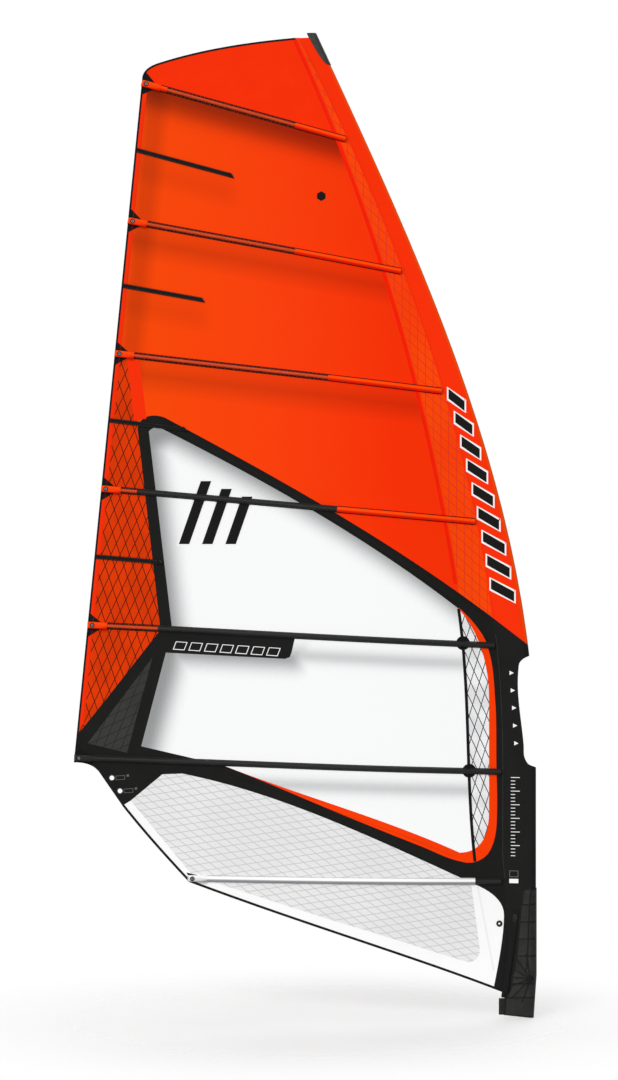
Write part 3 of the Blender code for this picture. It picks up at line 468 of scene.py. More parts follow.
def filled(outline, holes, spacing):
    """Points and triangles that fill the outline, with an even grid of inner points."""
    loops = [outline, *holes]
    edges = []
    start = 0
    for loop in loops:
        count = len(loop)
        edges += [(start + k, start + (k + 1) % count) for k in range(count)]
        start += count
    low = np.floor(np.min(outline, axis=0) / spacing)
    high = np.ceil(np.max(outline, axis=0) / spacing)
    columns, rows = np.meshgrid(np.arange(low[0], high[0] + 1), np.arange(low[1], high[1] + 1))
    grid = np.stack([columns.ravel(), rows.ravel()], axis=1) * spacing
    kept = within(grid, outline)
    for loop in loops:
        kept &= clearance(grid, [*loop, loop[0]]) > 0.35 * spacing
    points = [Vector(p) for loop in loops for p in loop] + [Vector(p) for p in grid[kept]]
    found, _, faces, *_ = delaunay_2d_cdt(points, edges, [], 1, 1e-7)
    found = np.array([tuple(p) for p in found])
    faces = np.array([tuple(face) for face in faces])
    middles = found[faces].mean(axis=1)
    solid = within(middles, outline)
    for hole in holes:
        solid &= ~within(middles, hole)
    faces = faces[solid]
    used, index = np.unique(faces, return_inverse=True)
    return found[used].tolist(), [tuple(face) for face in index.reshape(-1, 3).tolist()]


def plate(name, outline, near, far, holes=(), spacing=GRID):
    """A thin closed body whose faces follow the near (port) and far (starboard) surfaces."""
    flat, triangles = filled(refined(outline, spacing), [list(hole) for hole in holes], spacing)
    points = [(x, near(x, z), z) for x, z in flat] + [(x, far(x, z), z) for x, z in flat]
    count = len(flat)
    faces = list(triangles) + [tuple(k + count for k in reversed(face)) for face in triangles]
    directed = {(face[k], face[(k + 1) % 3]) for face in triangles for k in range(3)}
    for a, b in sorted(directed):
        if (b, a) not in directed:
            faces.append((b, a, a + count, b + count))
    return closed_mesh(name, points, faces)


def on_cloth(half):
    """The two faces of a layer, each this far from the middle of the cloth."""
    return (lambda x, z: camber(x, z) - half), (lambda x, z: camber(x, z) + half)


def merged(name, meshes):
    """One mesh that holds all of these."""
    body = bmesh.new()
    for mesh in meshes:
        body.from_mesh(mesh)
    whole = bpy.data.meshes.new(name)
    body.to_mesh(whole)
    body.free()
    return whole


def piece(name, mesh, finish, body="sail", smooth=None):
    """A visible piece in one finish, which rides on a body of the frame."""
    obj = bpy.data.objects.new(name, mesh)
    bpy.context.scene.collection.objects.link(obj)
    mesh.materials.clear()
    mesh.materials.append(finish["material"])
    if smooth:
        mesh.shade_smooth()
        mesh.set_sharp_from_angle(angle=math.radians(smooth))
    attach(obj, body)
    return obj


def layer(name, outline, finish, half, holes=(), spacing=GRID):
    """A flat layer of cloth or tape on both sides of the sail."""
    return piece(name, plate(name, outline, *on_cloth(half), holes, spacing), finish, smooth=30)


# Stitching: short raised threads, as (width, height), sunk a little into what they are sewn to.
FINE_THREAD = (0.001, 0.0005)
THREAD_SINK = 0.0001
STITCH_STEP = 0.008
STITCH_REACH = 0.002


def thread_mesh(name, runs, place, width, height):
    """Raised threads along runs of side-view points; place gives a point from (x, z, out)."""
    points = []
    faces = []
    for run in runs:
        for start, end in zip(run, run[1:]):
            a, b = Vector(start), Vector(end)
            along = (b - a).normalized()
            aside = Vector((-along.y, along.x)) * width / 2
            base = len(points)
            for p in (a, b):
                points += [place(*(p + aside), 0.0), place(*(p - aside), 0.0), place(*p, height)]
            corners = [(0, 1, 2), (3, 5, 4), (0, 3, 4, 1), (1, 4, 5, 2), (2, 5, 3, 0)]
            faces += [tuple(base + k for k in corner) for corner in corners]
    return closed_mesh(name, points, faces)


def walked(path, step):
    """Points along a path at even steps."""
    places = np.array(path, float)
    at = np.concatenate([[0.0], np.cumsum(np.linalg.norm(np.diff(places, axis=0), axis=1))])
    stops = np.arange(0.0, at[-1], step)
    return [(float(np.interp(s, at, places[:, 0])), float(np.interp(s, at, places[:, 1]))) for s in stops]


def zigzag(path, step, reach):
    """A run that crosses from one side of the path to the other at each step."""
    stops = walked(path, step)
    left, right = beside(stops, reach), beside(stops, -reach)
    return [left[k] if k % 2 else right[k] for k in range(len(stops))]


def dashes(path, pitch=0.006, share=0.65):
    """Separate straight stitches along a path."""
    stops = walked(path, pitch)
    runs = []
    for start, end in zip(stops, stops[1:]):
        a, b = Vector(start), Vector(end)
        runs.append([tuple(a), tuple(a.lerp(b, share))])
    return runs


def cloth_places(half, side):
    """Places a height above one side of a layer of cloth, from (x, z, out)."""
    def place(x, z, out):
        return Vector((x, camber(x, z) + side * (half + out), z))

    return place


def sleeve_places(side):
    """Places a height above one side of the sleeve, from (x, z, out)."""
    def place(x, z, out):
        return Vector((x, side * (sleeve_half(x, z) + out), z))

    return place


# Battens.


class BattenLine:
    """The straight line of a batten in the side view, measured from its leech end."""

    def __init__(self, start, end):
        self.start = Vector(start)
        self.end = Vector(end)
        self.length = (self.end - self.start).length
        self.along = (self.end - self.start).normalized()
        self.up = Vector((-self.along.y, self.along.x))

    def place(self, distance, up=0.0, out=0.0):
        """A point this far along and above the line, and this far out to port from the cloth there."""
        on_line = self.start + self.along * distance
        point = on_line + self.up * up
        return Vector((point.x, camber(on_line.x, on_line.y) - out, point.y))

    def axes(self):
        """The tensioner's axes at its dial: X along the batten, Z up across it, Y to starboard."""
        origin = self.place(DIAL_PLACE, 0.0, POCKET_OFFSET)
        x_axis = (self.place(HOUSING_START + HOUSING_LENGTH, 0.0, POCKET_OFFSET) - origin).normalized()
        z_axis = Vector((self.up.x, 0.0, self.up.y))
        y_axis = z_axis.cross(x_axis)
        return Matrix.Translation(origin) @ Matrix((x_axis, y_axis, z_axis)).transposed().to_4x4()


def luff_stop(line):
    """Where the pocket stops, so that both its corners stay behind the sleeve's seam."""
    reach = line.length
    for up in (-POCKET_HEIGHT / 2, POCKET_HEIGHT / 2):
        corner = line.end + line.up * up
        reach = min(reach, line.length - (corner.x - seam.x_at(corner.y)) / line.along.x)
    return reach - POCKET_CLEARANCE


def batten_lines():
    lines = []
    for leech_z, luff_z in BATTEN_ENDS:
        lines.append(BattenLine((leech_x(leech_z), leech_z), (seam.x_at(luff_z), luff_z)))
    lines.append(BattenLine(*FOOT_BATTEN))
    return lines


# Materials.


def srgb(*values):
    """A linear colour from its red, green and blue sRGB values of 0 to 255."""
    linear = []
    for value in values:
        share = value / 255
        linear.append(share / 12.92 if share <= 0.04045 else ((share + 0.055) / 1.055) ** 2.4)
    return (*linear, 1.0)


class Look:
    """A material and its node tree, with short calls for the nodes that it needs."""

    def __init__(self, name, slot, roughness, specular, metallic=0.0):
        self.slot = slot
        self.material = bpy.data.materials.new(name)
        self.material.use_nodes = True
        self.tree = self.material.node_tree
        self.shader = self.tree.nodes["Principled BSDF"]
        self.shader.inputs["Roughness"].default_value = roughness
        self.shader.inputs["Specular IOR Level"].default_value = specular
        self.shader.inputs["Metallic"].default_value = metallic
        self.place = self.tree.nodes.new("ShaderNodeTexCoord").outputs["Object"]

    def node(self, kind, output, inputs, **settings):
        """One node's output, with each input joined to a socket or set to a value."""
        made = self.tree.nodes.new(kind)
        for key, value in settings.items():
            setattr(made, key, value)
        for key, value in inputs.items():
            if isinstance(value, bpy.types.NodeSocket):
                self.tree.links.new(value, made.inputs[key])
            else:
                made.inputs[key].default_value = value
        return made.outputs[output]

    def math(self, operation, *values):
        return self.node("ShaderNodeMath", 0, dict(enumerate(values)), operation=operation)

    def along(self, x, z, y=0.0):
        """How far a place is along a direction."""
        inputs = {0: self.place, 1: (x, y, z)}
        return self.node("ShaderNodeVectorMath", "Value", inputs, operation="DOT_PRODUCT")

    def facing(self, x, y, z):
        """How squarely the surface faces a direction."""
        normal = self.tree.nodes.new("ShaderNodeNewGeometry").outputs["Normal"]
        inputs = {0: normal, 1: (x, y, z)}
        return self.node("ShaderNodeVectorMath", "Value", inputs, operation="DOT_PRODUCT")

    def between(self, value, low, high, start=0.0, end=1.0, smooth=False):
        """The value mapped from low..high to start..end, and held there outside it."""
        inputs = {"Value": value, "From Min": low, "From Max": high, "To Min": start, "To Max": end}
        kind = "SMOOTHSTEP" if smooth else "LINEAR"
        return self.node("ShaderNodeMapRange", 0, inputs, interpolation_type=kind)

    def ramp(self, value, stops):
        """A colour ramp through (position, colour) stops; a plain number is a share of full brightness."""
        made = self.tree.nodes.new("ShaderNodeValToRGB")
        self.tree.links.new(value, made.inputs[0])
        elements = made.color_ramp.elements
        while len(elements) < len(stops):
            elements.new(0.5)
        for element, (position, colour) in zip(elements, stops):
            element.position = position
            element.color = colour if hasattr(colour, "__len__") else (*[colour**2.2] * 3, 1.0)
        return made.outputs["Color"]

    def mix(self, share, first, second, kind="MIX"):
        inputs = {0: share, 6: first, 7: second}
        return self.node("ShaderNodeMix", 2, inputs, data_type="RGBA", blend_type=kind)

    def noise(self, scale, detail=2.0):
        inputs = {"Vector": self.place, "Scale": scale, "Detail": detail}
        return self.node("ShaderNodeTexNoise", 0, inputs)

    def weave(self, pitch):
        """The crossed threads of a woven cloth, from -1 to 1."""
        turn = 2 * math.pi / pitch
        warp = self.math("SINE", self.math("MULTIPLY", self.along(1.0, 0.0), turn))
        weft = self.math("SINE", self.math("MULTIPLY", self.along(0.0, 1.0), turn))
        return self.math("MULTIPLY", warp, weft)

    def threads(self, direction, spacing, width):
        """1 on thin lines that run in a direction, with this spacing across them, and 0 between."""
        across = self.along(direction[1], -direction[0])
        place = self.math("FRACT", self.math("DIVIDE", across, spacing))
        off = self.math("ABSOLUTE", self.math("SUBTRACT", place, 0.5))
        half = width / spacing / 2
        return self.between(off, half * 0.7, half * 1.3, 1.0, 0.0)

    def bump(self, height, strength, distance):
        inputs = {"Height": height, "Strength": strength, "Distance": distance}
        self.tree.links.new(self.node("ShaderNodeBump", 0, inputs), self.shader.inputs["Normal"])

    def paint(self, colour):
        self.tree.links.new(colour, self.shader.inputs["Base Color"])

    def opacity(self, value):
        if isinstance(value, bpy.types.NodeSocket):
            self.tree.links.new(value, self.shader.inputs["Alpha"])
        else:
            self.shader.inputs["Alpha"].default_value = value


def cloth_look(name, slot, colour, roughness=0.75, specular=0.15, tone=0.12, pitch=0.0016, depth=0.0002):
    """Woven cloth: crossed threads in relief, with a slow change of tone."""
    look = Look(name, slot, roughness, specular)
    colour = srgb(*colour)
    darker = tuple(c * (1 - 2 * tone) for c in colour[:3]) + (1.0,)
    look.paint(look.mix(look.between(look.noise(9.0), 0.3, 0.7), darker, colour))
    look.bump(look.weave(pitch), 0.4, depth)
    return look


def ply_look(name, slot, tones, thread, families, roughness=0.45, specular=0.12, patch=0.12):
    """Film over scrim: families of threads in relief over a base that varies in large patches."""
    look = Look(name, slot, roughness, specular)
    lines = [look.threads(*family) for family in families]
    mask = look.math("MAXIMUM", lines[0], lines[1])
    patches = look.between(look.noise(1 / patch), 0.4, 0.6, smooth=True)
    base = look.mix(patches, srgb(*tones[0]), srgb(*tones[1]))
    look.paint(look.mix(mask, base, srgb(*thread)))
    look.bump(mask, 0.5, 0.0004)
    look.mask = mask
    return look


def hard_look(name, slot, colour, roughness, specular=0.5, grain=900.0, depth=0.00015, metallic=0.0):
    """Moulded plastic or metal: a fine grain, and worn patches a little lighter and duller."""
    look = Look(name, slot, roughness, specular, metallic)
    colour = srgb(*colour)
    worn = tuple(min(c * 1.5 + 0.004, 1.0) for c in colour[:3]) + (1.0,)
    look.paint(look.mix(look.between(look.noise(35.0, 4.0), 0.5, 0.75), colour, worn))
    dull = look.between(look.noise(60.0, 3.0), 0.3, 0.7, roughness * 0.9, min(roughness * 1.25, 1.0))
    look.tree.links.new(dull, look.shader.inputs["Roughness"])
    look.bump(look.noise(grain), 0.3, depth)
    return look


# Painted shade on the film below a batten, by distance below the batten's line.
SHADE_REACH = 0.25
DEEP_SHADE = ((0.0, 0.62), (0.18, 0.64), (0.33, 0.74), (0.41, 0.82), (0.54, 0.93), (0.66, 0.985), (0.8, 1.0))
SOFT_SHADE = ((0.0, 0.97), (0.15, 0.95), (0.37, 0.87), (0.54, 0.93), (0.76, 1.0))
MINI_SHADE = ((0.0, 1.0), (0.2, 0.96), (0.35, 0.94), (0.52, 0.96), (0.7, 1.0))


def below(look, line):
    """How far a place is below a batten's line."""
    level_of_line = line.up.dot(line.start)
    return look.math("SUBTRACT", level_of_line, look.along(line.up.x, line.up.y))


def film_look(lines, minis):
    """The orange film: deeper towards the luff, with painted shade near the leech and below each batten."""
    look = Look("sail_film", "film_orange", 0.32, 0.06)
    rear, front = srgb(252, 74, 0), srgb(250, 49, 0)
    colour = look.ramp(look.between(look.along(1.0, 0.0), -2.1, -0.7), [(0.0, rear), (1.0, front)])
    for line, stops in ((lines[0], DEEP_SHADE), (lines[1], SOFT_SHADE), (lines[2], SOFT_SHADE)):
        shade = look.ramp(look.between(below(look, line), 0.0, SHADE_REACH), stops)
        gone = look.between(below(look, line), -0.004, 0.0)
        colour = look.mix(gone, colour, look.mix(1.0, colour, shade, "MULTIPLY"))
    # Fainter painted shade below each short batten, fading out past its inner tip.
    for line in minis:
        down = below(look, line)
        shade = look.ramp(look.between(down, 0.0, SHADE_REACH), MINI_SHADE)
        inner = look.between(look.along(1.0, 0.0), line.end.x - 0.05, line.end.x + 0.06, 1.0, 0.0, True)
        colour = look.mix(inner, colour, look.mix(1.0, colour, shade, "MULTIPLY"))
    # Painted shade along the leech, darkest a little inboard of it.
    slope = (LEECH_TOP[0] - CLEW[0]) / (LEECH_TOP[1] - CLEW[1])
    size = math.hypot(1.0, slope)
    offset = (CLEW[0] - slope * CLEW[1]) / size
    inboard = look.math("SUBTRACT", look.along(1.0 / size, -slope / size), offset)
    near = look.ramp(look.between(inboard, 0.02, 0.17), [(0.0, 0.96), (0.25, 0.88), (0.55, 0.88), (1.0, 1.0)])
    colour = look.mix(1.0, colour, near, "MULTIPLY")
    look.paint(colour)
    creases = look.math("ADD", look.noise(5.0, 3.0), look.math("MULTIPLY", look.noise(160.0), 0.06))
    look.bump(creases, 0.25, 0.006)
    return look


def sleeve_painted_light_look(name, tones):
    """The sleeve's orange cloth, with painted light by which way its surface faces: a painted highlight where
    it turns towards the luff, and painted shade at its very edge.
    """
    look = Look(name, "film_orange", 0.5, 0.05)
    forward = look.facing(0.9, 0.0, 0.43)
    stops = [(position, srgb(*tone)) for position, tone in tones]
    look.paint(look.ramp(look.between(forward, 0.0, 1.0), stops))
    look.bump(look.weave(0.0018), 0.35, 0.0002)
    return look


def pocket_look(name, slot, lower, upper):
    """Cloth stretched over a round batten, with painted light: a darker tone where its surface faces down and
    a lighter one where it faces up.
    """
    look = Look(name, slot, 0.5, 0.06)
    rise = look.facing(0.0, 0.0, 1.0)
    look.paint(look.mix(look.between(rise, -0.30, 0.15), srgb(*lower), srgb(*upper)))
    look.bump(look.weave(0.0016), 0.35, 0.0002)
    return look


# Woven cloths and tapes: name, slot and colour, then any settings that differ from cloth_look's own.
CLOTHS = {
    "head": ("head_film", "film_orange", (252, 48, 0), 0.35, 0.05, 0.02, 0.003, 0.0001),
    "strip": ("orange_strip", "film_orange", (253, 48, 0), 0.5, 0.05, 0.02),
    "red": ("red_strip", "film_orange", (255, 30, 0), 0.5, 0.05, 0.03),
    "light": ("light_strip", "film_orange", (255, 74, 0), 0.5, 0.05, 0.03),
    "edging": ("window_edging", "film_orange", (255, 62, 0), 0.5, 0.05, 0.02),
    "white": ("white_cloth", "cloth_white", (254, 254, 254), 0.5, 0.1, 0.01),
    "stripe": ("pale_stripe", "cloth_white", (244, 244, 245), 0.5, 0.1, 0.01),
    "black": ("black_cloth", "cloth_black", (23, 23, 22)),
    "tape": ("edge_tape", "cloth_black", (18, 18, 17), 0.75, 0.15, 0.12, 0.0012),
    "lower": ("luff_black_cloth", "cloth_black", (24, 24, 23)),
    "strap": ("webbing", "cloth_black", (20, 20, 20), 0.8, 0.2, 0.1, 0.0032, 0.0005),
    "pocket_black": ("black_pocket", "pocket_black", (31, 31, 30), 0.55, 0.25),
    "thread_black": ("black_thread", "cloth_black", (14, 14, 13), 0.75, 0.15, 0.12, 0.0008),
    "thread_red": ("red_thread", "film_orange", (225, 30, 0), 0.75, 0.15, 0.12, 0.0008),
    "thread_white": ("white_thread", "cloth_white", (196, 196, 198), 0.75, 0.15, 0.12, 0.0008),
    "ink_white": ("white_ink", "cloth_white", (250, 250, 250), 0.6, 0.1, 0.01),
    "ink_grey": ("grey_ink", "cloth_black", (104, 104, 102), 0.6, 0.1, 0.05),
}
FALLING = (math.cos(math.radians(42)), -math.sin(math.radians(42)))
LUFF_THREADS = (((0.0, 1.0), 0.040, 0.0030), (FALLING, 0.0365, 0.0030))
LEECH_THREADS = (((0.316, -0.949), 0.0455, 0.0040), ((-0.441, -0.897), 0.0430, 0.0040))
CLEW_THREADS = (((-0.37, -0.93), 0.043, 0.0040), ((0.91, 0.41), 0.043, 0.0040))
FOOT_THREADS = (((0.988, 0.156), 0.0355, 0.0035), ((0.80, -0.60), 0.0370, 0.0035))
MESH_THREADS = (((0.43, -0.90), 0.0405, 0.0042), ((-0.29, -0.957), 0.0430, 0.0042))
# Scrim films: name, slot, two tones of the film, colour and families of the threads, then roughness,
# specular and the size of the patches of tone.
PLIES = {
    "luff_ply": (
        "luff_ply", "ply_orange", ((254, 72, 0), (251, 62, 0)), (216, 50, 34),
        LUFF_THREADS, 0.45, 0.05, 0.8,
    ),
    "leech_ply": (
        "leech_ply", "ply_orange", ((227, 58, 0), (213, 54, 0)), (52, 22, 12),
        LEECH_THREADS, 0.45, 0.04, 0.16,
    ),
    "clew_ply": (
        "clew_ply", "cloth_black", ((54, 54, 52), (46, 46, 44)), (33, 33, 32),
        CLEW_THREADS, 0.6, 0.15, 0.5,
    ),
    "foot_ply": (
        "foot_ply", "cloth_white", ((234,) * 3, (230,) * 3), (198, 198, 199),
        FOOT_THREADS, 0.5, 0.1, 0.4,
    ),
    "window_ply": (
        "window_ply", "ply_clear", ((246, 246, 247), (222, 223, 225)), (28, 28, 27),
        MESH_THREADS, 0.2, 0.2, 0.14,
    ),
}
# Moulded and metal parts: name, slot, colour, roughness, specular, grain, depth of the grain and metallic.
HARDS = {
    "carbon": ("carbon_rod", "batten_carbon", (62, 62, 62), 0.35, 0.5, 400.0),
    "moulded": ("moulded_plastic", "moulded_black", (22, 22, 21), 0.45, 0.25),
    "cap": ("cap_plastic", "moulded_black", (40, 39, 38), 0.38, 0.5),
    "metal": ("black_metal", "black_metal", (26, 26, 26), 0.35, 0.35, 500.0),
    "steel": ("stainless_steel", "steel", (185, 185, 187), 0.25, 0.5, 700.0, 0.00005, 1.0),
    "fairing": ("fairing_plastic", "moulded_black", (34, 34, 33), 0.45, 0.22),
}
# Painted light on the sleeve, by how squarely its surface faces forward and up: lighter where it turns
# towards the luff, darkest at its very edge.
SLEEVE_PAINTED_LIGHT = (
    (0.0, (250, 48, 0)),
    (0.35, (252, 56, 0)),
    (0.62, (255, 84, 0)),
    (0.85, (250, 76, 0)),
    (1.0, (212, 74, 0)),
)


def window_look():
    """Clear film with a painted shadow: a grey tint, less clear, where the tone is high."""
    look = Look("window_film", "film_clear", 0.12, 0.3)
    tone = look.node("ShaderNodeAttribute", "Fac", {}, attribute_name="tone")
    look.paint(look.mix(tone, srgb(236, 238, 240), srgb(96, 98, 100)))
    look.opacity(look.between(tone, 0.0, 1.0, 0.14, 0.52))
    look.bump(look.noise(4.0, 2.0), 0.15, 0.004)
    return look


def clear_pocket_look():
    """See-through film that shows the batten in it."""
    look = Look("clear_pocket", "film_orange", 0.3, 0.25)
    look.paint(look.mix(look.between(look.noise(30.0), 0.3, 0.7), srgb(244, 92, 42), srgb(236, 84, 34)))
    look.opacity(0.55)
    look.bump(look.weave(0.002), 0.3, 0.0002)
    return look


def make_finishes(lines, minis):
    looks = {key: cloth_look(*values) for key, values in CLOTHS.items()}
    looks |= {key: ply_look(*values) for key, values in PLIES.items()}
    looks |= {key: hard_look(*values) for key, values in HARDS.items()}
    looks["film"] = film_look(lines, minis)
    looks["window"] = window_look()
    looks["pocket_clear"] = clear_pocket_look()
    # Each pocket's lower tone is painted shade and its upper tone a painted highlight.
    looks["pocket_orange"] = pocket_look("orange_pocket", "film_orange", (252, 36, 0), (255, 76, 0))
    looks["pocket_white"] = pocket_look("white_pocket", "cloth_white", (158, 158, 163), (252, 252, 252))
    looks["sleeve"] = sleeve_painted_light_look("sleeve_cloth", SLEEVE_PAINTED_LIGHT)
    mesh = looks["window_ply"]
    mesh.opacity(mesh.between(mesh.mask, 0.0, 1.0, 0.45, 1.0))
    fairing = looks["fairing"]
    rib = fairing.node("ShaderNodeAttribute", "Fac", {}, attribute_name="rib")
    grey = fairing.mix(fairing.between(fairing.noise(18.0), 0.35, 0.65), srgb(29, 29, 28), srgb(40, 40, 38))
    fairing.paint(fairing.mix(rib, grey, srgb(5, 5, 5)))
    return {name: {"material": look.material, "slot": look.slot} for name, look in looks.items()}


# The sail's panels.


def panel_outlines(lines):
    """Each packed panel's outline in the side view, by the panel's name."""
    across = [Curve([line.start, line.end]) for line in lines]
    ends = [(line.start.x, line.start.y) for line in lines]
    ply_meets = [crossing(ply_seam, curve, -0.8) for curve in across[:3]]
    ply_top = PLY_CURVE[3]
    frame_ply = crossing(ply_seam, frame_top, -0.4)
    frame_seam = crossing(seam, frame_top, -0.2)
    ply_corner = (LEECH_PLY_TOP_X, across[2].z_at(LEECH_PLY_TOP_X))
    joint_z = FRAME_JOINT_Z + FRAME_JOINT_SLANT
    joint_luff = (window_luff.x_at(joint_z), joint_z)
    diagonal_end = (leech_x(CLEW_DIAGONAL_Z), CLEW_DIAGONAL_Z)
    corner = bezier(WINDOW_CORNER, 12)
    split = corner[4]
    tape = bezier((*WINDOW_TAPE, split), 24)
    skirt = (*FRAME_SKIRT, (TACK_CORNER_X, foot.z_at(TACK_CORNER_X)))
    tack_edge = bezier(FRAME_TACK, 10) + bezier(skirt, 8)
    clew_joint = (CLEW_JOINT_X, frame_foot.z_at(CLEW_JOINT_X))

    def chord(number, start_x, end_x):
        return level(across[number], start_x, end_x)

    outlines = {"head_panel": joined(
        bezier(HEAD_CORNER, 10)[::-1] + level(head, HEAD_CURVE[0][0], ply_top[0]),
        upright(ply_seam, ply_top[1], ply_meets[0][1]),
        chord(0, ply_meets[0][0], ends[0][0]),
    )}
    for name, number in (("upper_panel", 0), ("middle_panel", 1)):
        outlines[name] = joined(
            chord(number, ends[number][0], ply_meets[number][0]),
            upright(ply_seam, ply_meets[number][1], ply_meets[number + 1][1]),
            chord(number + 1, ply_meets[number + 1][0], ends[number + 1][0]),
        )
    handles = ((-2.012, 3.085), (-1.975, 3.108), (-1.925, 3.104))
    frame_corner = bezier((FRAME_LEECH[1], *handles, FRAME_TOP[0]), 12)
    window_corner = bezier((WINDOW_LEECH[0], *WINDOW_LEECH[1:3]), 8)
    outlines["lower_panel"] = joined(
        chord(2, ply_corner[0], ply_meets[2][0]),
        upright(ply_seam, ply_meets[2][1], frame_ply[1]),
        level(frame_top, frame_ply[0], FRAME_TOP[0][0]),
        frame_corner[::-1],
    )
    outlines["luff_ply_panel"] = joined(
        upright(ply_seam, ply_top[1], frame_ply[1]),
        level(frame_top, frame_ply[0], frame_seam[0]),
        upright(seam, frame_seam[1], SEAM_CURVE[3][1]),
    )
    outlines["leech_ply_panel"] = joined(
        chord(2, ends[2][0], ply_corner[0]),
        [FRAME_LEECH[1], FRAME_LEECH[0]],
        CLEW_DIAGONAL,
        upright(leech, diagonal_end[1], ends[2][1]),
    )
    outlines["window_film"] = joined(
        level(window_top, WINDOW_TOP[0][0], WINDOW_TOP[3][0]),
        tape,
        corner[4::-1],
        level(window_foot, WINDOW_FOOT[3][0], WINDOW_FOOT[0][0]),
        WINDOW_CLEW[::-1],
        [WINDOW_LEECH[3]],
        window_corner[::-1],
    )
    outlines["window_mesh_strip"] = joined(
        tape,
        corner[4:],
        upright(window_luff, WINDOW_CORNER[3][1], WINDOW_LUFF[3][1]),
    )
    outlines["window_frame_top"] = joined(
        [FRAME_LEECH[0]],
        frame_corner,
        level(frame_top, FRAME_TOP[0][0], frame_seam[0]),
        upright(seam, frame_seam[1], FRAME_JOINT_Z),
        upright(window_luff, joint_luff[1], WINDOW_LUFF[3][1]),
        level(window_top, WINDOW_TOP[3][0], WINDOW_TOP[0][0]),
        window_corner,
        [WINDOW_LEECH[3]],
    )
    outlines["window_frame_foot"] = joined(
        upright(seam, FRAME_JOINT_Z, SEAM_FOOT[0][1]),
        [FOOT_CURVE[3]],
        tack_edge[::-1],
        level(frame_foot, FRAME_FOOT[3][0], clew_joint[0]),
        WINDOW_CLEW[3:],
        level(window_foot, WINDOW_FOOT[0][0], WINDOW_FOOT[3][0]),
        corner,
        upright(window_luff, WINDOW_CORNER[3][1], joint_luff[1]),
    )
    outlines["clew_patch"] = joined(
        CLEW_DIAGONAL,
        [diagonal_end],
        bezier(CLEW_NOTCH, 10),
        FOOT_LEECH[:1],
        CLEW_LOWER,
        level(frame_foot, FRAME_FOOT[0][0], clew_joint[0]),
        WINDOW_CLEW[::-1],
        FRAME_LEECH[:1],
    )
    outlines["foot_panel"] = joined(
        FOOT_LEECH[:1],
        CLEW_LOWER,
        level(frame_foot, FRAME_FOOT[0][0], FRAME_FOOT[3][0]),
        tack_edge,
        level(foot, TACK_CORNER_X, FOOT_CURVE[0][0]),
        FOOT_LEECH[::-1],
    )
    return outlines


PANEL_FINISHES = {
    "head_panel": "head",
    "upper_panel": "film",
    "middle_panel": "film",
    "lower_panel": "film",
    "luff_ply_panel": "luff_ply",
    "leech_ply_panel": "leech_ply",
    "window_film": "window",
    "window_mesh_strip": "window_ply",
    "window_frame_top": "black",
    "window_frame_foot": "black",
    "clew_patch": "black",
    "foot_panel": "white",
}
PANEL_HOLES = {
    "clew_patch": [ring_points(place, GROMMET_HOLE + 0.002, 32) for place in GROMMET_PLACES],
    "foot_panel": [ring_points(EYELET_PLACE, EYELET_HOLE + 0.002, 24)],
}


def make_panels(lines, finishes):
    for name, outline in panel_outlines(lines).items():
        half = CLOTH_HALF if PANEL_FINISHES[name] == "black" else FILM_HALF
        spacing = FINE_GRID if name.startswith("window_f") else GRID
        finish = finishes[PANEL_FINISHES[name]]
        obj = layer(f"{name}_cloth", outline, finish, half, PANEL_HOLES.get(name, ()), spacing)
        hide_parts(name)
        width, length = fitted_size(outline)
        signed_area(outline)
        if name == "window_film":
            shade_window(obj, outline, lines)


# How far the painted shadow in the window lies from the frame, the name panel and the battens that it
# follows, how soft its edge is, and its strength below a batten.
SHADOW_SHIFT = (0.075, -0.105)
PANEL_SHADOW_SHIFT = (0.045, -0.055)
SHADOW_SOFT = 0.16
BATTEN_SHADOW = 0.60
BATTEN_SHADOW_DROP = 0.10
BATTEN_SHADOW_SOFT = 0.042


def shade_window(obj, outline, lines):
    """A painted shadow, as a grey tint in the clear film beside the frame's edges and the name panel, and
    below the battens.
    """
    points = np.array([(v.co.x, v.co.z) for v in obj.data.vertices])
    moved = points - np.array(SHADOW_SHIFT)
    reach = clearance(moved, [*outline, outline[0]])
    reach = np.where(within(moved, outline), reach, -reach)
    moved = points - np.array(PANEL_SHADOW_SHIFT)
    panel_reach = clearance(moved, [*NAME_PANEL, NAME_PANEL[0]])
    panel_reach = np.where(within(moved, NAME_PANEL), -panel_reach, panel_reach)
    nearest = np.minimum(reach, panel_reach)
    t = np.clip((nearest + 0.5 * SHADOW_SOFT) / SHADOW_SOFT, 0.0, 1.0)
    tone = 1.0 - t * t * (3 - 2 * t)
    for line in lines[4:6]:
        down = (line.up.dot(line.start)) - points @ np.array(line.up)
        away = (down - BATTEN_SHADOW_DROP) / BATTEN_SHADOW_SOFT
        tone = np.maximum(tone, BATTEN_SHADOW * np.exp(-(away**2)))
    attribute = obj.data.attributes.new("tone", "FLOAT", "POINT")
    attribute.data.foreach_set("value", tone.astype(np.float32))


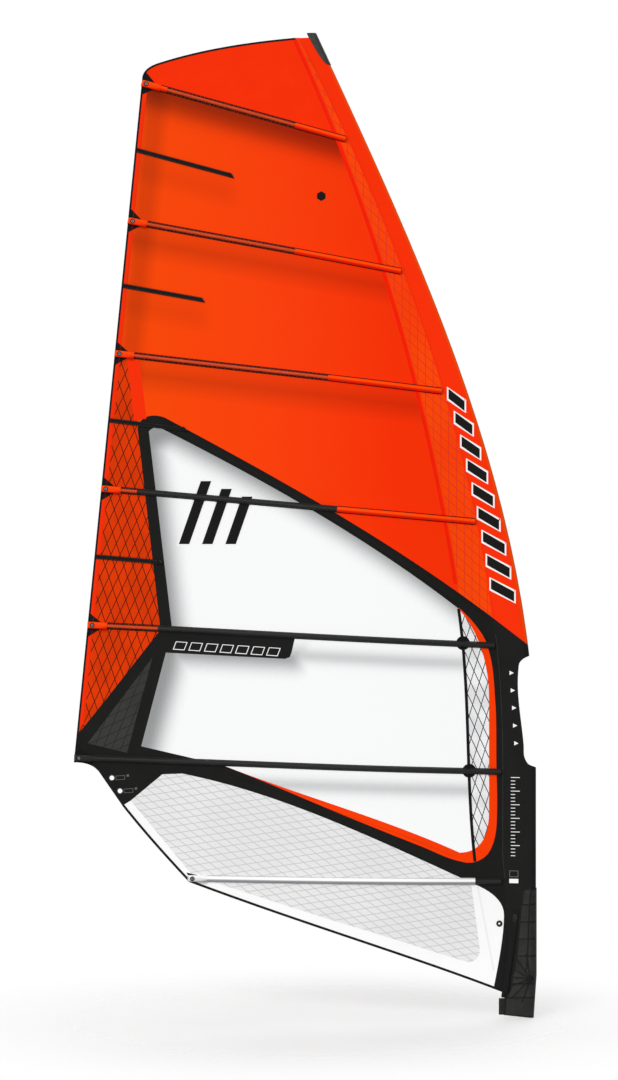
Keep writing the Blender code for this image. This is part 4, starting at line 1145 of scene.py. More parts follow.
# Strips, patches and tapes over the panels.
NAME_PANEL = [(-1.905, 1.99), (-1.212, 1.952), (-1.229, 1.880)]
NAME_PANEL += [(-1.238, 1.858), (-1.262, 1.849), (-1.874, 1.879)]
CLEW_PLY = [(-1.944, 1.856), (-2.279, 1.412), (-2.076, 1.363)]
EDGING = (
    (-1.564, 1.294), (-1.387, 1.225), (-1.015, 1.070), (-0.568, 0.888), (-0.364, 0.807), (-0.318, 0.798),
    (-0.272, 0.806), (-0.226, 0.834), (-0.193, 0.890), (-0.177, 0.956), (-0.171, 1.061), (-0.174, 1.298),
    (-0.181, 1.644), (-0.206, 1.861), (-0.232, 1.945), (-0.290, 2.031), (-0.368, 2.112),
)
FOOT_FIELD = (
    (-0.306, 0.700), (-0.286, 0.545), (-0.261, 0.362), (-0.262, 0.327), (-0.277, 0.303), (-0.306, 0.286),
    (-0.359, 0.297), (-0.774, 0.430), (-1.094, 0.529), (-1.615, 0.695), (-1.741, 0.739), (-1.752, 0.749),
)
TACK_STRIPE = ((-0.271, 0.675), (-0.230, 0.460), (-0.188, 0.244))
TACK_STRIPE_HALF = 0.006
ROUND_PATCHES = ((-0.347, 1.929), (-0.315, 1.272))
ROUND_PATCH_RADIUS = 0.036
EDGING_HALF = 0.0012
CROSSING_HALF = 0.0016  # the window tape, where it passes over the edging
EDGE_TAPE = 0.009
FOOT_TAPE = 0.0115
TAPE_LAP = 0.001  # how far an edge tape runs past the sail's edge
CHAFE_LENGTH = 0.067
CHAFE_FLARE = 0.048  # how much taller a chafe patch is at the leech
FOOT_CHAFE = ((-0.008, 0.030), (0.055, 0.016), (0.066, -0.016), (0.020, -0.020))
LEECH_STRIP = 0.030
WINDOW_TAPE_HALF = 0.0078


def make_overlays(lines, finishes):
    """The strips, tapes and patches that are sewn over the panels."""
    strip = upright(leech, CLEW_DIAGONAL_Z + 0.06, 4.80)
    layer("leech_red_strip", band(strip, -0.002, -LEECH_STRIP), finishes["strip"], OVERLAY_HALF)
    third = Curve([lines[2].start, lines[2].end])
    gap_path = [(-2.049, third.z_at(-2.049)), (-2.010, 3.080)]
    layer("ply_red_strip", band(gap_path, 0.034, -0.030), finishes["strip"], OVERLAY_HALF)
    seam_path = upright(ply_seam, 5.040, 2.235)
    layer("luff_red_seam", band(seam_path, -0.020, 0.0), finishes["red"], OVERLAY_HALF)
    layer("luff_light_seam", band(seam_path, 0.0, 0.008), finishes["light"], OVERLAY_HALF)
    window_edge = level(window_foot, WINDOW_FOOT[0][0], WINDOW_FOOT[3][0]) + bezier(WINDOW_CORNER, 12)
    window_edge += upright(window_luff, WINDOW_CORNER[3][1], WINDOW_LUFF[3][1])
    edging = joined(smooth_path(EDGING, 90), window_edge[::-1])
    layer("window_edging", edging, finishes["edging"], EDGING_HALF, spacing=FINE_GRID)
    layer("clew_scrim", joined(CLEW_PLY), finishes["clew_ply"], OVERLAY_HALF)
    field_top = [*CLEW_LOWER, *level(frame_foot, FRAME_FOOT[0][0], FOOT_FIELD[0][0])]
    layer("foot_scrim", joined(field_top, FOOT_FIELD), finishes["foot_ply"], OVERLAY_HALF)
    stripe = band(list(TACK_STRIPE), TACK_STRIPE_HALF, -TACK_STRIPE_HALF)
    layer("tack_stripe", stripe, finishes["stripe"], OVERLAY_HALF)
    layer("name_panel", joined(NAME_PANEL), finishes["black"], OVERLAY_HALF)
    tape = band(bezier((*WINDOW_TAPE, (-0.285, 0.805)), 30), WINDOW_TAPE_HALF, -WINDOW_TAPE_HALF)
    layer("window_tape", tape, finishes["tape"], CROSSING_HALF)
    for number, place in enumerate(ROUND_PATCHES, 1):
        ring = ring_points(place, ROUND_PATCH_RADIUS, 40)
        layer(f"round_patch_{number}", ring, finishes["tape"], TAPE_HALF)
    leech_path = upright(leech, CLEW[1], LEECH_TOP[1])
    head_path = bezier(HEAD_CORNER, 12)[::-1] + level(head, HEAD_CURVE[0][0], -1.209)
    foot_path = [*FOOT_LEECH[:1], *bezier(FOOT_LEECH, 12), *level(foot, FOOT_CURVE[0][0], -0.13)]
    layer("leech_tape", band(leech_path, TAPE_LAP, -EDGE_TAPE), finishes["tape"], TAPE_HALF)
    layer("head_tape", band(head_path, TAPE_LAP, -EDGE_TAPE), finishes["tape"], TAPE_HALF)
    layer("foot_tape", band(foot_path, -TAPE_LAP, FOOT_TAPE), finishes["tape"], TAPE_HALF)
    for number, line in enumerate(lines, 1):
        rise = POCKET_HEIGHT / 2
        drop = rise if number == 6 else rise + CHAFE_FLARE
        corners = [(0.0, rise + CHAFE_FLARE), (CHAFE_LENGTH, rise), (CHAFE_LENGTH, -rise), (0.0, -drop)]
        if number == 7:
            corners = FOOT_CHAFE
        patch = [flat_place(line, *corner) for corner in corners]
        if number < 7:
            patch = [(max(x, leech_x(z)), z) for x, z in patch]
        layer(f"chafe_patch_{number}", joined(patch), finishes["tape"], TAPE_HALF)


def flat_place(line, distance, up):
    point = line.start + line.along * distance + line.up * up
    return (point.x, point.y)


# Pockets, tensioner covers and short battens.
# Where each stretch of a pocket ends, from the leech, and its finish. The usual one runs on to the sleeve.
POCKET_STRETCHES = (
    ((-1.870, "pocket_orange"), (-1.211, "pocket_clear")),
    ((-1.211, "pocket_clear"),),
    ((-1.041, "pocket_clear"),),
    ((-2.025, "pocket_clear"), (-0.995, "pocket_black")),
    ((-1.917, "pocket_clear"), (None, "pocket_black")),
    (),
    ((-0.284, "pocket_white"),),
)
COVER_FINISHES = ("pocket_orange",) * 5 + ("pocket_black", "pocket_white")
SEAM_SPACING = 0.06
ZIGZAG_STEP = 0.011
ZIGZAG_REACH = 0.0024
ZIGZAG_WIDTH = 0.0028
EDGE_LINE_WIDTH = 0.0042
EDGE_LINE_INSET = 0.0006


def pocket_profile(half, rise, wall, roundness=HUMP_ROUND, base=FLANGE_OUT, steps=12):
    """One slice of a sewn pocket: outer points from the lower edge to the upper, then inner back."""
    edge = POCKET_HEIGHT / 2
    outer, inner = [(-edge, base)], [(-edge, base - wall)]
    for k in range(steps + 1):
        angle = math.pi * k / steps
        lift = max(math.sin(angle), 0.0) ** roundness if 0 < k < steps else 0.0
        outer.append((-half * math.cos(angle), base + (rise - base) * lift))
        inner.append((-(half - wall) * math.cos(angle), base - wall + (rise - base) * lift))
    outer.append((edge, base))
    inner.append((edge, base - wall))
    return outer + inner[::-1]


def profile_width(profile):
    outer = profile[: len(profile) // 2]
    return sum(math.dist(a, b) for a, b in zip(outer, outer[1:]))


def pocket_stretch(name, line, start, end, finish, half):
    """A length of pocket. The size of the strip of cloth that it was cut from is worked out and not used."""
    profile = pocket_profile(half, HUMP_OUT, POCKET_WALL)
    sections = []
    for s in spread(start, end, POCKET_SPACING):
        sections.append([line.place(s, up, out) for up, out in profile])
    obj = piece(name, closed_mesh(name, *lofted(sections)), finish, smooth=60)
    size = (profile_width(profile), end - start)


def tensioner_cover(number, line, finish):
    """The cloth cover over a tensioner, closed at the leech and with a round hole at the dial."""
    rows = ((-0.002, 0.0026), (0.002, 0.012), (0.005, COVER_OUT), (0.03, COVER_OUT))
    rows += ((0.06, COVER_OUT), (0.088, COVER_OUT), (COVER_END, HUMP_OUT))
    sections = []
    for s, rise in rows:
        square = s < COVER_END
        half, roundness = (COVER_HALF, COVER_ROUND) if square else (HUMP_HALF, HUMP_ROUND)
        profile = pocket_profile(half, rise, POCKET_WALL, roundness)
        sections.append([line.place(s, up, out) for up, out in profile])
    name = f"pocket_{number}_cover"
    cover = closed_mesh(name, *lofted(sections))
    hole = DIAL_RADIUS + 0.0015
    drill = closed_mesh("drill", *turned([(0, -0.03), (hole, -0.03), (hole, 0.0), (0, 0.0)], 32, False))
    drill.transform(line.axes())
    obj = piece(name, carved(name, cover, [drill]), finish, smooth=60)
    profile = pocket_profile(COVER_HALF, COVER_OUT, POCKET_WALL, COVER_ROUND)
    profile_width(profile)
    return obj


def pocket_plan(number, line):
    """The stretches of a pocket from the tensioner cover to the sleeve: (start, end, finish)."""
    plan = []
    at = COVER_END
    stop = luff_stop(line)
    usual = "pocket_orange" if number < 6 else "pocket_black"
    for end_x, kind in (*POCKET_STRETCHES[number - 1], (None, usual)):
        end = stop if end_x is None else min((end_x - line.start.x) / line.along.x, stop)
        if end > at + 0.001:
            plan.append((at, end, kind))
            at = end
    return plan


def pocket_threads(line, start, end, kind):
    """The zigzags and the edge lines sewn along one stretch of a pocket, as runs of side-view points."""
    zigzags, edges = [], []
    stations = spread(start, end, SEAM_SPACING)
    for side in (-1, 1):
        if kind != "pocket_black":
            up = side * (POCKET_HEIGHT / 2 - EDGE_LINE_INSET)
            edges.append([flat_place(line, s, up) for s in stations])
        if kind == "pocket_clear":
            edges.append([flat_place(line, s, side * (CLEAR_HALF + 0.0012)) for s in stations])
            middle = [flat_place(line, s, side * (CLEAR_HALF + 0.0035)) for s in stations]
            zigzags.append(zigzag(middle, ZIGZAG_STEP, ZIGZAG_REACH))
    return zigzags, edges


def make_pockets(lines, finishes):
    for number, line in enumerate(lines, 1):
        cover = tensioner_cover(number, line, finishes[COVER_FINISHES[number - 1]])
        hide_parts(f"batten_pocket_{number}")
        zigzags, edges = [], []
        for count, (start, end, kind) in enumerate(pocket_plan(number, line), 1):
            half = CLEAR_HALF if kind == "pocket_clear" else HUMP_HALF
            name = f"pocket_{number}_stretch_{count}"
            pocket_stretch(name, line, start, end, finishes[kind], half)
            more_zigzags, more_edges = pocket_threads(line, start, end, kind)
            zigzags += more_zigzags
            edges += more_edges
        place = line_places(line, FLANGE_OUT - THREAD_SINK)
        thread = finishes["thread_white" if number == 7 else "thread_black"]
        for word, runs, width in (("zigzag", zigzags, ZIGZAG_WIDTH), ("edge_lines", edges, EDGE_LINE_WIDTH)):
            if runs:
                piece(f"pocket_{number}_{word}", thread_mesh(word, runs, place, width, 0.0008), thread)


def line_places(line, base):
    """Places a height above the pocket on a batten's line, from (x, z, out)."""
    def place(x, z, out):
        flat = Vector((x, z)) - line.start
        return line.place(flat.dot(line.along), flat.dot(line.up), base + out)

    return place


MINI_FLANGE = 0.0014
MINI_RISE = 0.0075


def make_short_battens(minis, finishes):
    """A black cloth pocket over each short batten, with a slanted inner tip."""
    edge = MINI_HEIGHT / 2 + 0.0015
    top = edge - 0.002
    shape = [(-edge, MINI_FLANGE), (-top, MINI_RISE), (top, MINI_RISE), (edge, MINI_FLANGE)]
    section = shape + [(up * 0.96, out - POCKET_WALL) for up, out in shape][::-1]
    for number, line in enumerate(minis, 1):
        sections = []
        for s in spread(0.001, line.length - 0.022, 0.05):
            sections.append([line.place(s, up, out) for up, out in section])
        tip = []
        for up, out in section:
            reach = line.length + 0.003 - 0.024 * (up + edge) / (2 * edge)
            tip.append(line.place(reach, up, out))
        name = f"short_batten_pocket_{number}"
        obj = piece(name, closed_mesh(name, *lofted([*sections, tip])), finishes["tape"], smooth=40)
        runs = []
        stations = spread(0.01, line.length - 0.03, 0.05)
        for side in (-1, 1):
            runs += dashes([flat_place(line, s, side * (edge - 0.004)) for s in stations])
        threads = thread_mesh(name, runs, line_places(line, MINI_RISE - THREAD_SINK), *FINE_THREAD)
        piece(f"{name}_stitches", threads, finishes["ink_grey"])


# Sleeve.
INK_LIFT = 0.0004  # how far printed shapes stand out from the sleeve
BAND_X = -0.08  # the middle of the slanted edge between the sleeve's orange and black cloths


def sleeve_radius(z):
    return NOSE - SLEEVE_TAPER * max(z - CUTOUT_EDGE[0][1], 0.0)


def teardrop(x, nose_x, radius, rear_x, rear_half, grow):
    """Half the thickness of a teardrop section at x: a round nose, and straight sides to the rear."""
    centre = nose_x - radius
    full = radius + grow
    if x >= centre:
        return math.sqrt(max(full**2 - (x - centre) ** 2, 0.0))
    t = (x - rear_x) / (centre - rear_x)
    return (rear_half + grow) + t * (full - rear_half - grow)


def sleeve_half(x, z, grow=0.0):
    """Half the sleeve's thickness at a place in the side view."""
    rear = seam.x_at(z) - SLEEVE_FLANGE
    return teardrop(x, luff.x_at(z), sleeve_radius(z), rear, SLEEVE_REAR, grow)


def spaced(rear, front):
    """Places from the rear to the front, closest together at the nose."""
    steps = [math.sin(math.pi / 2 * k / SIDE_STEPS) for k in range(SIDE_STEPS + 1)]
    return [rear + (front - rear) * step for step in steps]


def prism(name, outline):
    """The outline carried right across the sleeve, to cut with."""
    sides = (-CUTTER_REACH, CUTTER_REACH)
    return closed_mesh(name, *lofted([[Vector((x, y, z)) for x, z in outline] for y in sides]))


def fairing_rear_curve():
    swapped = [(x, z) for z, x in FAIRING_REAR]
    corner = [(x, z) for z, x in bezier(FAIRING_CORNER, 6)]
    return Curve(swapped + corner)


def on_sleeve(side, lift=INK_LIFT):
    """The faces of a layer on one side of the sleeve: -1 is port."""
    def outer(x, z):
        return side * (sleeve_half(x, z) + lift)

    def inner(x, z):
        return side * max(sleeve_half(x, z) - INK_LIFT, 0.0)

    return (outer, inner) if side < 0 else (inner, outer)


def sleeve_tube(name, bottom, top):
    """The folded cloth of the sleeve between two heights, from one side of the seam to the other."""
    sections = []
    for z in spread(bottom, top, SLEEVE_ROW):
        loop = []
        for grow in (0.0, -SLEEVE_WALL):
            xs = spaced(seam.x_at(z) - SLEEVE_FLANGE, luff.x_at(z) + grow)
            port = [Vector((x, -sleeve_half(x, z, grow), z)) for x in xs]
            starboard = [Vector((p.x, -p.y, z)) for p in reversed(port[:-1])]
            side = port + starboard
            loop += side if grow == 0.0 else side[::-1]
        sections.append(loop)
    return closed_mesh(name, *lofted(sections))


def half_space(name, low, high, above):
    """A block on one side of the line from low to high in the side view, to cut with."""
    reach = 8.0 if above else -8.0
    return prism(name, [low, high, (high[0], high[1] + reach), (low[0], low[1] + reach)])


def sleeve_area(bottom, top):
    """Developed width at each height, added up, and the widest of them."""
    widths = []
    for z in spread(bottom, top, SLEEVE_ROW):
        xs = spaced(seam.x_at(z) - SLEEVE_FLANGE, luff.x_at(z))
        ring = [(x, sleeve_half(x, z)) for x in xs]
        widths.append(2 * sum(math.dist(a, b) for a, b in zip(ring, ring[1:])))
    return float(np.mean(widths)) * (top - bottom), max(widths)


def tuck(z):
    """How far the sleeve runs in under the fairing's rear edge. It stops short of it near the top."""
    share = min(max((TUCK_TOP - z) / TUCK_FADE, 0.0), 1.0)
    return TUCK * share - SEAM_ROOM * (1 - share)


def make_upper_sleeve(finishes):
    """The folded sleeve above the cutout: orange, and black below the line of the window frame's top."""
    low, high = crossing(seam, frame_top, -0.2), FRAME_TOP[3]
    slope = (high[1] - low[1]) / (high[0] - low[0])
    rear, front = [(x, low[1] + slope * (x - low[0])) for x in (-2.5, 0.3)]
    whole = sleeve_tube("sleeve", CUTOUT_TOP, SLEEVE_TOP)
    orange = carved("upper_sleeve_cloth", whole.copy(), [half_space("below", rear, front, False)])
    black = carved("sleeve_band", whole, [half_space("above", rear, front, True)])
    upper = piece("upper_sleeve_cloth", orange, finishes["sleeve"], smooth=60)
    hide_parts("upper_sleeve_port", "upper_sleeve_starboard")
    return upper, piece("sleeve_band", black, finishes["lower"], smooth=60)


def make_lower_sleeve(finishes):
    """The black sleeve from the cutout down, cut away round the fairing."""
    tube = sleeve_tube("lower_sleeve_cloth", SLEEVE_BOTTOM - 0.045, CUTOUT_TOP)
    front = [*smooth_path(CUTOUT_EDGE, 40), (CUTOUT_EDGE[-1][0], CUTOUT_TOP + PAST)]
    cutout = [(CUTTER_REACH, CUTOUT_EDGE[0][1]), *front, (CUTTER_REACH, CUTOUT_TOP + PAST)]
    rear_edge = fairing_rear_curve()
    corner_z, ceiling = FAIRING_CORNER[0][0], FAIRING_TOP + SEAM_ROOM
    edge = [(rear_edge.x_at(z) + tuck(z), z) for z in spread(FAIRING_SPACE_FOOT, corner_z, 0.02)]
    edge += [(x - SEAM_ROOM, z) for x, z in rear_edge.points if z > corner_z]
    around = [*edge[:-1], (edge[-1][0], ceiling), (CUTTER_REACH, ceiling), (CUTTER_REACH, edge[0][1])]
    cut = carved("lower_sleeve_cloth", tube, [prism("cutout", cutout), prism("fairing", around)])
    lower = piece("lower_sleeve_cloth", cut, finishes["lower"], smooth=60)
    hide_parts("lower_sleeve_port", "lower_sleeve_starboard")
    return lower


def make_sleeve(finishes):
    upper, middle = make_upper_sleeve(finishes)
    lower = make_lower_sleeve(finishes)
    band_foot = frame_top.z_at(BAND_X)
    area, width = sleeve_area(band_foot, SLEEVE_TOP)
    area, width = sleeve_area(CUTOUT_TOP, band_foot)
    area, width = sleeve_area(FAIRING_TOP, CUTOUT_TOP)


# Fairing, strap and hardware.
RIB_HEIGHTS = (0.106, 0.178, 0.322, 0.409, 0.497, 0.585)
HUB = (0.0, 0.203)
HUB_RADIUS = 0.020
SPOKE_ANGLES = (100, 125, 150, 175, 200, 225, 250)
SPOKE_LENGTH = 0.13
UPRIGHT_RIB_FOOT = 0.25
UPRIGHT_RIB_SHARE = 0.55  # how far forward of the rear edge the upright rib stands
RIB_HALF = 0.0030
RIB_EDGE = 0.002
RIB_RISE = 0.0012
RIM_WIDTH = 0.009
FAIRING_ROW = 0.0045
FAIRING_STEPS = 44
FAIRING_SLOPE_TOP = 0.05
HALVES_ROOM = 0.0006  # from the middle plane to each half's front edge


def rib_share(x, z, rear_x):
    """How much of a rib a place on the fairing's face is, from 0 to 1."""
    nearest = min(abs(z - height) for height in RIB_HEIGHTS)
    point = np.array([[x, z]])
    for degrees in SPOKE_ANGLES:
        angle = math.radians(degrees)
        tip = (HUB[0] + SPOKE_LENGTH * math.cos(angle), HUB[1] + SPOKE_LENGTH * math.sin(angle))
        nearest = min(nearest, float(clearance(point, [HUB, tip])[0]))
    if z > UPRIGHT_RIB_FOOT:
        middle = rear_x + UPRIGHT_RIB_SHARE * (FAIRING_FRONT[1][1] - rear_x)
        nearest = min(nearest, abs(x - middle))
    nearest = min(nearest, 1.0)
    rim = min(x - rear_x, z, FAIRING_TOP - z)
    if math.dist((x, z), HUB) < HUB_RADIUS or rim < RIM_WIDTH:
        return 1.0
    return max(0.0, 1 - max(nearest - RIB_HALF, 0.0) / RIB_EDGE)


def fairing_row(side, z, front, rear, wall):
    """One level of a fairing half's outer face, or of its inner face a wall's thickness in."""
    nose, rear_x = front.x_at(z), rear.x_at(z)
    radius = max(nose, FAIRING_RADIUS)
    slope = FAIRING_SLOPE * max(1 - z / FAIRING_SLOPE_TOP, 0.0)
    row = []
    for k in range(FAIRING_STEPS + 1):
        x = rear_x + (nose - wall - rear_x) * math.sin(math.pi / 2 * k / FAIRING_STEPS)
        rib = 1.0 if wall else rib_share(x, z, rear_x)
        grow = -wall if wall else -RIB_RISE * (1 - rib)
        half = teardrop(x, nose, radius, rear_x, FAIRING_REAR_HALF, grow)
        row.append((Vector((x, side * max(half, HALVES_ROOM), z + slope * (nose - x))), rib))
    return row


def make_fairing(finishes):
    """Ribbed halves of the tack fairing, one to each flap."""
    rear = fairing_rear_curve()
    front = Curve([(x, z) for z, x in FAIRING_FRONT])
    for side, word in SIDES:
        rows, ribs = [], []
        for z in spread(0.0, FAIRING_TOP, FAIRING_ROW):
            inner = fairing_row(side, z, front, rear, FAIRING_WALL)
            loop = fairing_row(side, z, front, rear, 0.0) + inner[::-1]
            rows.append([point for point, _ in loop])
            ribs += [rib for _, rib in loop]
        name = f"fairing_{word}_shell"
        mesh = closed_mesh(name, *lofted(rows))
        attribute = mesh.attributes.new("rib", "FLOAT", "POINT")
        attribute.data.foreach_set("value", np.array(ribs, np.float32))
        obj = piece(name, mesh, finishes["fairing"], f"fairing_flap_{word}", smooth=50)
        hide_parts(f"fairing_{word}")


def strap_half(s):
    """Half the gap between the strap's two runs, this far up it from the block."""
    length = (Vector(STRAP_LINE[1]) - Vector(STRAP_LINE[0])).length
    return STRAP_BOTTOM_HALF + (STRAP_TOP_HALF - STRAP_BOTTOM_HALF) * s / length


def make_strap(finishes):
    """The webbing strap, with rounded edges and rows of stitching across its upper end."""
    low, high = Vector(STRAP_LINE[0]), Vector(STRAP_LINE[1])
    along = (high - low).normalized()
    across = Vector((along.y, -along.x))
    sections = []
    for turn in range(9):
        reach = -STRAP_HALF_WIDTH + 2 * STRAP_HALF_WIDTH * turn / 8
        thin = STRAP_THICKNESS * (0.55 if turn in (0, 8) else 1.0)
        outer, inner = [], []
        for s in spread((high - low).length, 0.0, 0.02):
            outer.append((s, -strap_half(s)))
            inner.append((s + (0.002 if s == 0.0 else 0.0), -strap_half(s) + thin))
        loop = outer + [(s, -y) for s, y in reversed(outer)]
        loop += [(s, -y) for s, y in inner] + list(reversed(inner))
        section = []
        for s, y in loop:
            point = low + along * s + across * reach
            section.append(Vector((point.x, y, point.y)))
        sections.append(section)
    obj = piece("tack_strap", closed_mesh("tack_strap", *lofted(sections)), finishes["strap"], smooth=50)
    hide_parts("tack_webbing")
    runs = []
    for s in (0.40, 0.41, 0.42, 0.43):
        start, end = low + along * s - across * 0.010, low + along * s + across * 0.010
        runs.append(zigzag([tuple(start), tuple(end)], 0.002, 0.0012))

    def place(x, z, out):
        return Vector((x, -strap_half((Vector((x, z)) - low).dot(along)) - out, z))

    threads = thread_mesh("strap_stitches", runs, place, 0.0009, 0.0005)
    piece("strap_stitches", threads, finishes["ink_grey"])


def finish_hardware(finishes):
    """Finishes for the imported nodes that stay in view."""
    kinds = {"batten_": "carbon", "mini_batten_": "carbon", "tensioner_housing_": "moulded"}
    kinds |= {"tension_dial_": "metal", "sheave_": "moulded"}
    kinds |= {"clew_grommet_": "metal", "tack_eyelet": "metal"}
    kinds |= {"pulley_housing": "moulded", "pulley_axle": "steel", "head_cap": "cap"}
    for name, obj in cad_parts.items():
        for start, kind in kinds.items():
            if name.startswith(start) and "pocket" not in name:
                obj.data.materials.clear()
                obj.data.materials.append(finishes[kind]["material"])


def make_dial_sockets(lines, finishes):
    for number, line in enumerate(lines, 1):
        profile = [(0.0046, -0.0099), (0.0072, -0.0099), (0.0076, -0.0094), (0.0046, -0.0094)]
        mesh = closed_mesh("socket", *turned(profile, 6, True))
        mesh.transform(line.axes())
        piece(f"dial_socket_{number}", mesh, finishes["steel"], f"dial_{number}")


# Graphics: plain bars, pointers and boxes.
BAR_TOP, BAR_FOOT = (-0.420, 3.180), (-0.150, 2.200)
WINDOW_BARS = ((-1.820, 2.430, 0.340), (-1.700, 2.430, 0.300), (-1.580, 2.430, 0.260))


def slanted_bar(x, z, length, inset):
    """A plain bar that leans to the right, from its lower corner, drawn in by the inset."""
    width, lean = 0.070 - 2 * inset, 0.35
    low = (x + inset * (1 + lean), z + inset)
    return rectangle_outline(low, (width, 0.0), (lean * (length - 2 * inset), length - 2 * inset))


BAR_COUNT = 8  # spaces between the bars
BAR_HEIGHT = 0.068
BAR_TILT = 0.034
BAR_INSET = (0.008, 0.007, 0.010)
BAR_LIFT = 0.0007
RIM_HALF = 0.0010
POINTERS = ((-0.097, 1.775), (-0.091, 1.685), (-0.084, 1.595), (-0.079, 1.504), (-0.073, 1.413))


def luff_bar(z, inset, acute, obtuse):
    """A bar slanting down across the sleeve at a height, drawn in from its edges and corners."""
    rear, front = seam.x_at(z) + 0.002 + inset, luff.x_at(z) - 0.022 - inset
    low, high = z - BAR_HEIGHT / 2, z + BAR_HEIGHT / 2
    lower = [(rear, low + BAR_TILT + acute), (front, low - BAR_TILT + obtuse)]
    return joined([*lower, (front, high - BAR_TILT - acute), (rear, high + BAR_TILT - obtuse)])


def on_luff(name, outline, side, holes=()):
    return plate(name, outline, *on_sleeve(side), holes, 0.01)


def on_both(name, outline, holes=(), half=INK_HALF):
    return plate(name, outline, *on_cloth(half), holes, 0.03)


def make_luff_graphics(finishes):
    """Slanted bars down the luff, and pointers, scale marks and boxes below them."""
    for side, word in SIDES:
        white, black = [], []
        for k in range(BAR_COUNT + 1):
            z = BAR_TOP[1] + (BAR_FOOT[1] - BAR_TOP[1]) * (k / BAR_COUNT)
            rim, fill = luff_bar(z, 0.0, 0.0, 0.0), luff_bar(z, *BAR_INSET)
            white.append(plate("bar", rim, *on_sleeve(side), spacing=0.012))
            black.append(plate("bar", fill, *on_sleeve(side, BAR_LIFT), spacing=0.012))
        piece(f"luff_bars_rim_{word}", merged("rim", white), finishes["ink_white"])
        piece(f"luff_bars_{word}", merged("bars", black), finishes["tape"])
        marks = []
        for x, z in POINTERS:
            pointer = joined([(x - 0.010, z + 0.011), (x - 0.010, z - 0.011), (x + 0.012, z)])
            marks.append(on_luff("pointer", pointer, side))
        for k in range(24):
            long = 0.045 if k % 4 == 0 else 0.022
            tick = rectangle_outline((-0.100, 1.235 - 0.0175 * k), (long, 0.0), (0.0, 0.0035))
            marks.append(on_luff("tick", tick, side))
        piece(f"luff_marks_{word}", merged("marks", marks), finishes["ink_white"])
        box = rectangle_outline((-0.108, 0.724), (0.046, 0.0), (0.0, 0.034))
        hole = rectangle_outline((-0.1045, 0.7275), (0.039, 0.0), (0.0, 0.027))
        label = rectangle_outline((-0.108, 0.693), (0.046, 0.0), (0.0, 0.022))
        piece(f"luff_box_{word}", merged("box", [on_luff("box", box, side, [hole])]), finishes["ink_grey"])
        piece(f"luff_label_{word}", on_luff("label", label, side), finishes["ink_white"])


def make_graphics(finishes):
    """Printed shapes on the sleeve and the cloth, all of them plain bars, boxes and marks."""
    make_luff_graphics(finishes)
    bars, rims, fills, boxes = [], [], [], []
    for k in range(7):
        x = -1.840 + 0.080 * k
        z = 1.965 - 0.0605 * (x + 1.9)
        ring = rectangle_outline((x, z - 0.066), (0.060, -0.004), (0.016, 0.042))
        hole = rectangle_outline((x + 0.0055, z - 0.0625), (0.052, -0.0035), (0.0133, 0.035))
        bars.append(on_both("bar", ring, [hole]))
    for x, z, length in WINDOW_BARS:
        rims.append(on_both("rim", slanted_bar(x, z, length, 0.0), half=RIM_HALF))
        fills.append(on_both("fill", slanted_bar(x, z, length, 0.008)))
    for x, z in GROMMET_PLACES:
        box = rectangle_outline((x + 0.020, z - 0.011), (0.048, 0.003), (-0.001, 0.022))
        hole = rectangle_outline((x + 0.0225, z - 0.0085), (0.043, 0.0027), (-0.001, 0.017))
        tick = rectangle_outline((x + 0.076, z + 0.006), (0.012, 0.001), (0.0, 0.012))
        boxes += [on_both("box", box, [hole]), on_both("tick", joined(tick))]
    for name, plates, finish in (
        ("name_panel_bars", bars, "ink_white"),
        ("window_bar_rims", rims, "ink_white"),
        ("window_bars", fills, "tape"),
        ("clew_boxes", boxes, "ink_grey"),
    ):
        piece(name, merged(name, plates), finishes[finish])
    corners = []
    for k in range(6):
        angle = math.pi / 3 * k + 0.5
        corners.append((-1.076 + 0.025 * math.cos(angle), 4.229 + 0.025 * math.sin(angle)))
    piece("plain_badge", on_both("plain_badge", joined(corners)), finishes["tape"])


# Stitching along the seams.


def sewn(path, offset):
    """A zigzag seam beside a path."""
    return [zigzag(beside(path, offset), STITCH_STEP, STITCH_REACH)]


def dashed(path, offset):
    """A straight seam beside a path."""
    return dashes(beside(path, offset), STITCH_STEP)


def make_stitches(finishes):
    """Seams down the cloth and down the rear edge of the sleeve, on both sides."""
    frame_path, window_path = level(frame_top, -1.88, -0.16), level(window_top, -1.89, -0.39)
    black = dashed(upright(leech, CLEW[1] + 0.02, LEECH_TOP[1]), -0.0065)
    black += dashed(level(head, HEAD_CURVE[0][0], -1.215), -0.0065)
    black += sewn(frame_path, -0.006) + sewn(frame_path, -0.016)
    black += dashed(window_path, 0.008) + dashed(window_path, 0.014)
    black += dashed(level(frame_foot, -1.75, -0.32), 0.008) + sewn(level(window_foot, -1.55, -0.38), -0.030)
    ply_path = upright(ply_seam, 5.030, 2.24)
    red = sewn(upright(leech, CLEW_DIAGONAL_Z + 0.08, 4.72), -LEECH_STRIP + 0.005)
    red += sewn(ply_path, -0.016) + sewn(ply_path, 0.004)
    back = [(x + 0.004, z) for x, z in upright(seam, 0.72, 5.02)]
    upper = [zigzag([point for point in back if point[1] > 2.05], STITCH_STEP, STITCH_REACH)]
    lower = dashes([point for point in back if point[1] < 2.0], STITCH_STEP)
    for side, word in SIDES:
        on_panels, on_tube = cloth_places(TAPE_HALF - THREAD_SINK, side), sleeve_places(side)
        for name, runs, place, kind in (
            ("seam_thread_red", red, on_panels, "thread_red"),
            ("seam_thread_black", black, on_panels, "thread_black"),
            ("sleeve_seam", upper, on_tube, "thread_red"),
            ("sleeve_foot_seam", lower, on_tube, "ink_grey"),
        ):
            piece(f"{name}_{word}", thread_mesh(name, runs, place, *FINE_THREAD), finishes[kind])


# Stage.


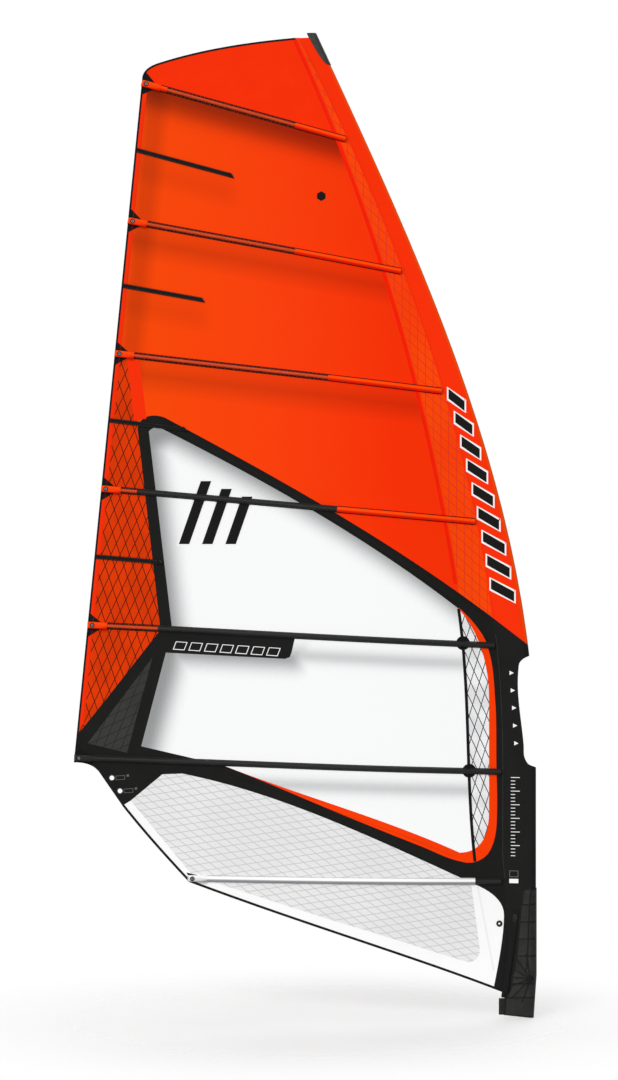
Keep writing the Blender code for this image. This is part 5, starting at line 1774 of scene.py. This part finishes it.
SUNS = (
    # Name, direction it shines from, energy and angle in degrees.
    ("key", (-0.35, -0.80, 0.50), 1.75, 25.0),
    ("back", (0.30, 0.85, 0.45), 0.9, 40.0),
)
FLOOR_RADIUS = 2.6
CAMERA_LENS = 120.0
CAMERA_PLACE = (-1.139, -18.54, 2.459)


def make_stage():
    """Soft white light all round, two suns and a pale floor that fades out."""
    scene = bpy.context.scene
    scene.view_settings.view_transform = "Standard"
    world = bpy.data.worlds.new("studio")
    scene.world = world
    world.use_nodes = True
    nodes, links = world.node_tree.nodes, world.node_tree.links
    nodes["Background"].inputs["Color"].default_value = (1.0, 1.0, 1.0, 1.0)
    path = nodes.new("ShaderNodeLightPath").outputs["Is Camera Ray"]
    strength = nodes.new("ShaderNodeMapRange")
    links.new(path, strength.inputs["Value"])
    strength.inputs["To Min"].default_value = 0.52
    strength.inputs["To Max"].default_value = 1.0
    links.new(strength.outputs[0], nodes["Background"].inputs["Strength"])
    for name, direction, energy, angle in SUNS:
        light = bpy.data.lights.new(name, "SUN")
        light.energy = energy
        light.angle = math.radians(angle)
        lamp = bpy.data.objects.new(name, light)
        lamp.rotation_euler = Vector(direction).to_track_quat("Z", "Y").to_euler()
        scene.collection.objects.link(lamp)
    look = Look("pale_floor", "", 0.9, 0.1)
    far = look.node("ShaderNodeVectorMath", "Value", {0: look.place}, operation="LENGTH")
    look.opacity(look.between(far, 0.3, 2.4, 0.45, 0.0, True))
    grain = look.between(look.noise(1.2), 0.3, 0.7)
    look.paint(look.mix(grain, (0.94, 0.94, 0.94, 1.0), (0.98, 0.98, 0.98, 1.0)))
    angles = np.linspace(0, 2 * math.pi, 65)[:-1]
    ring = [Vector((FLOOR_RADIUS * math.cos(a), FLOOR_RADIUS * math.sin(a), 0.0)) for a in angles]
    mesh = closed_mesh("floor", *lofted([[p - Vector((0, 0, 0.02)) for p in ring], ring]))
    mesh.materials.append(look.material)
    floor = bpy.data.objects.new("floor", mesh)
    floor.location = (-1.1, 0.0, -0.004)
    scene.collection.objects.link(floor)


def make_camera():
    data = bpy.data.cameras.new("camera")
    data.lens = CAMERA_LENS
    data.sensor_fit = "VERTICAL"
    data.sensor_height = 36.0
    camera = bpy.data.objects.new("camera", data)
    camera.location = CAMERA_PLACE
    camera.rotation_euler = (math.radians(90.0), 0.0, 0.0)
    bpy.context.scene.collection.objects.link(camera)
    bpy.context.scene.camera = camera


def main():
    make_camera()
    make_stage()
    lines = batten_lines()
    minis = mini_lines()
    finishes = make_finishes(lines, minis)
    make_panels(lines, finishes)
    make_overlays(lines, finishes)
    make_pockets(lines, finishes)
    make_short_battens(minis, finishes)
    make_sleeve(finishes)
    make_fairing(finishes)
    make_strap(finishes)
    finish_hardware(finishes)
    make_dial_sockets(lines, finishes)
    make_graphics(finishes)
    make_stitches(finishes)


def mini_lines():
    """The lines of the short leech battens."""
    found = []
    for leech_z, tip_z, length in MINI_BATTENS:
        start = Vector((leech_x(leech_z), leech_z))
        drop = tip_z - leech_z
        found.append(BattenLine(start, start + Vector((math.sqrt(length**2 - drop**2), drop))))
    return found


main()
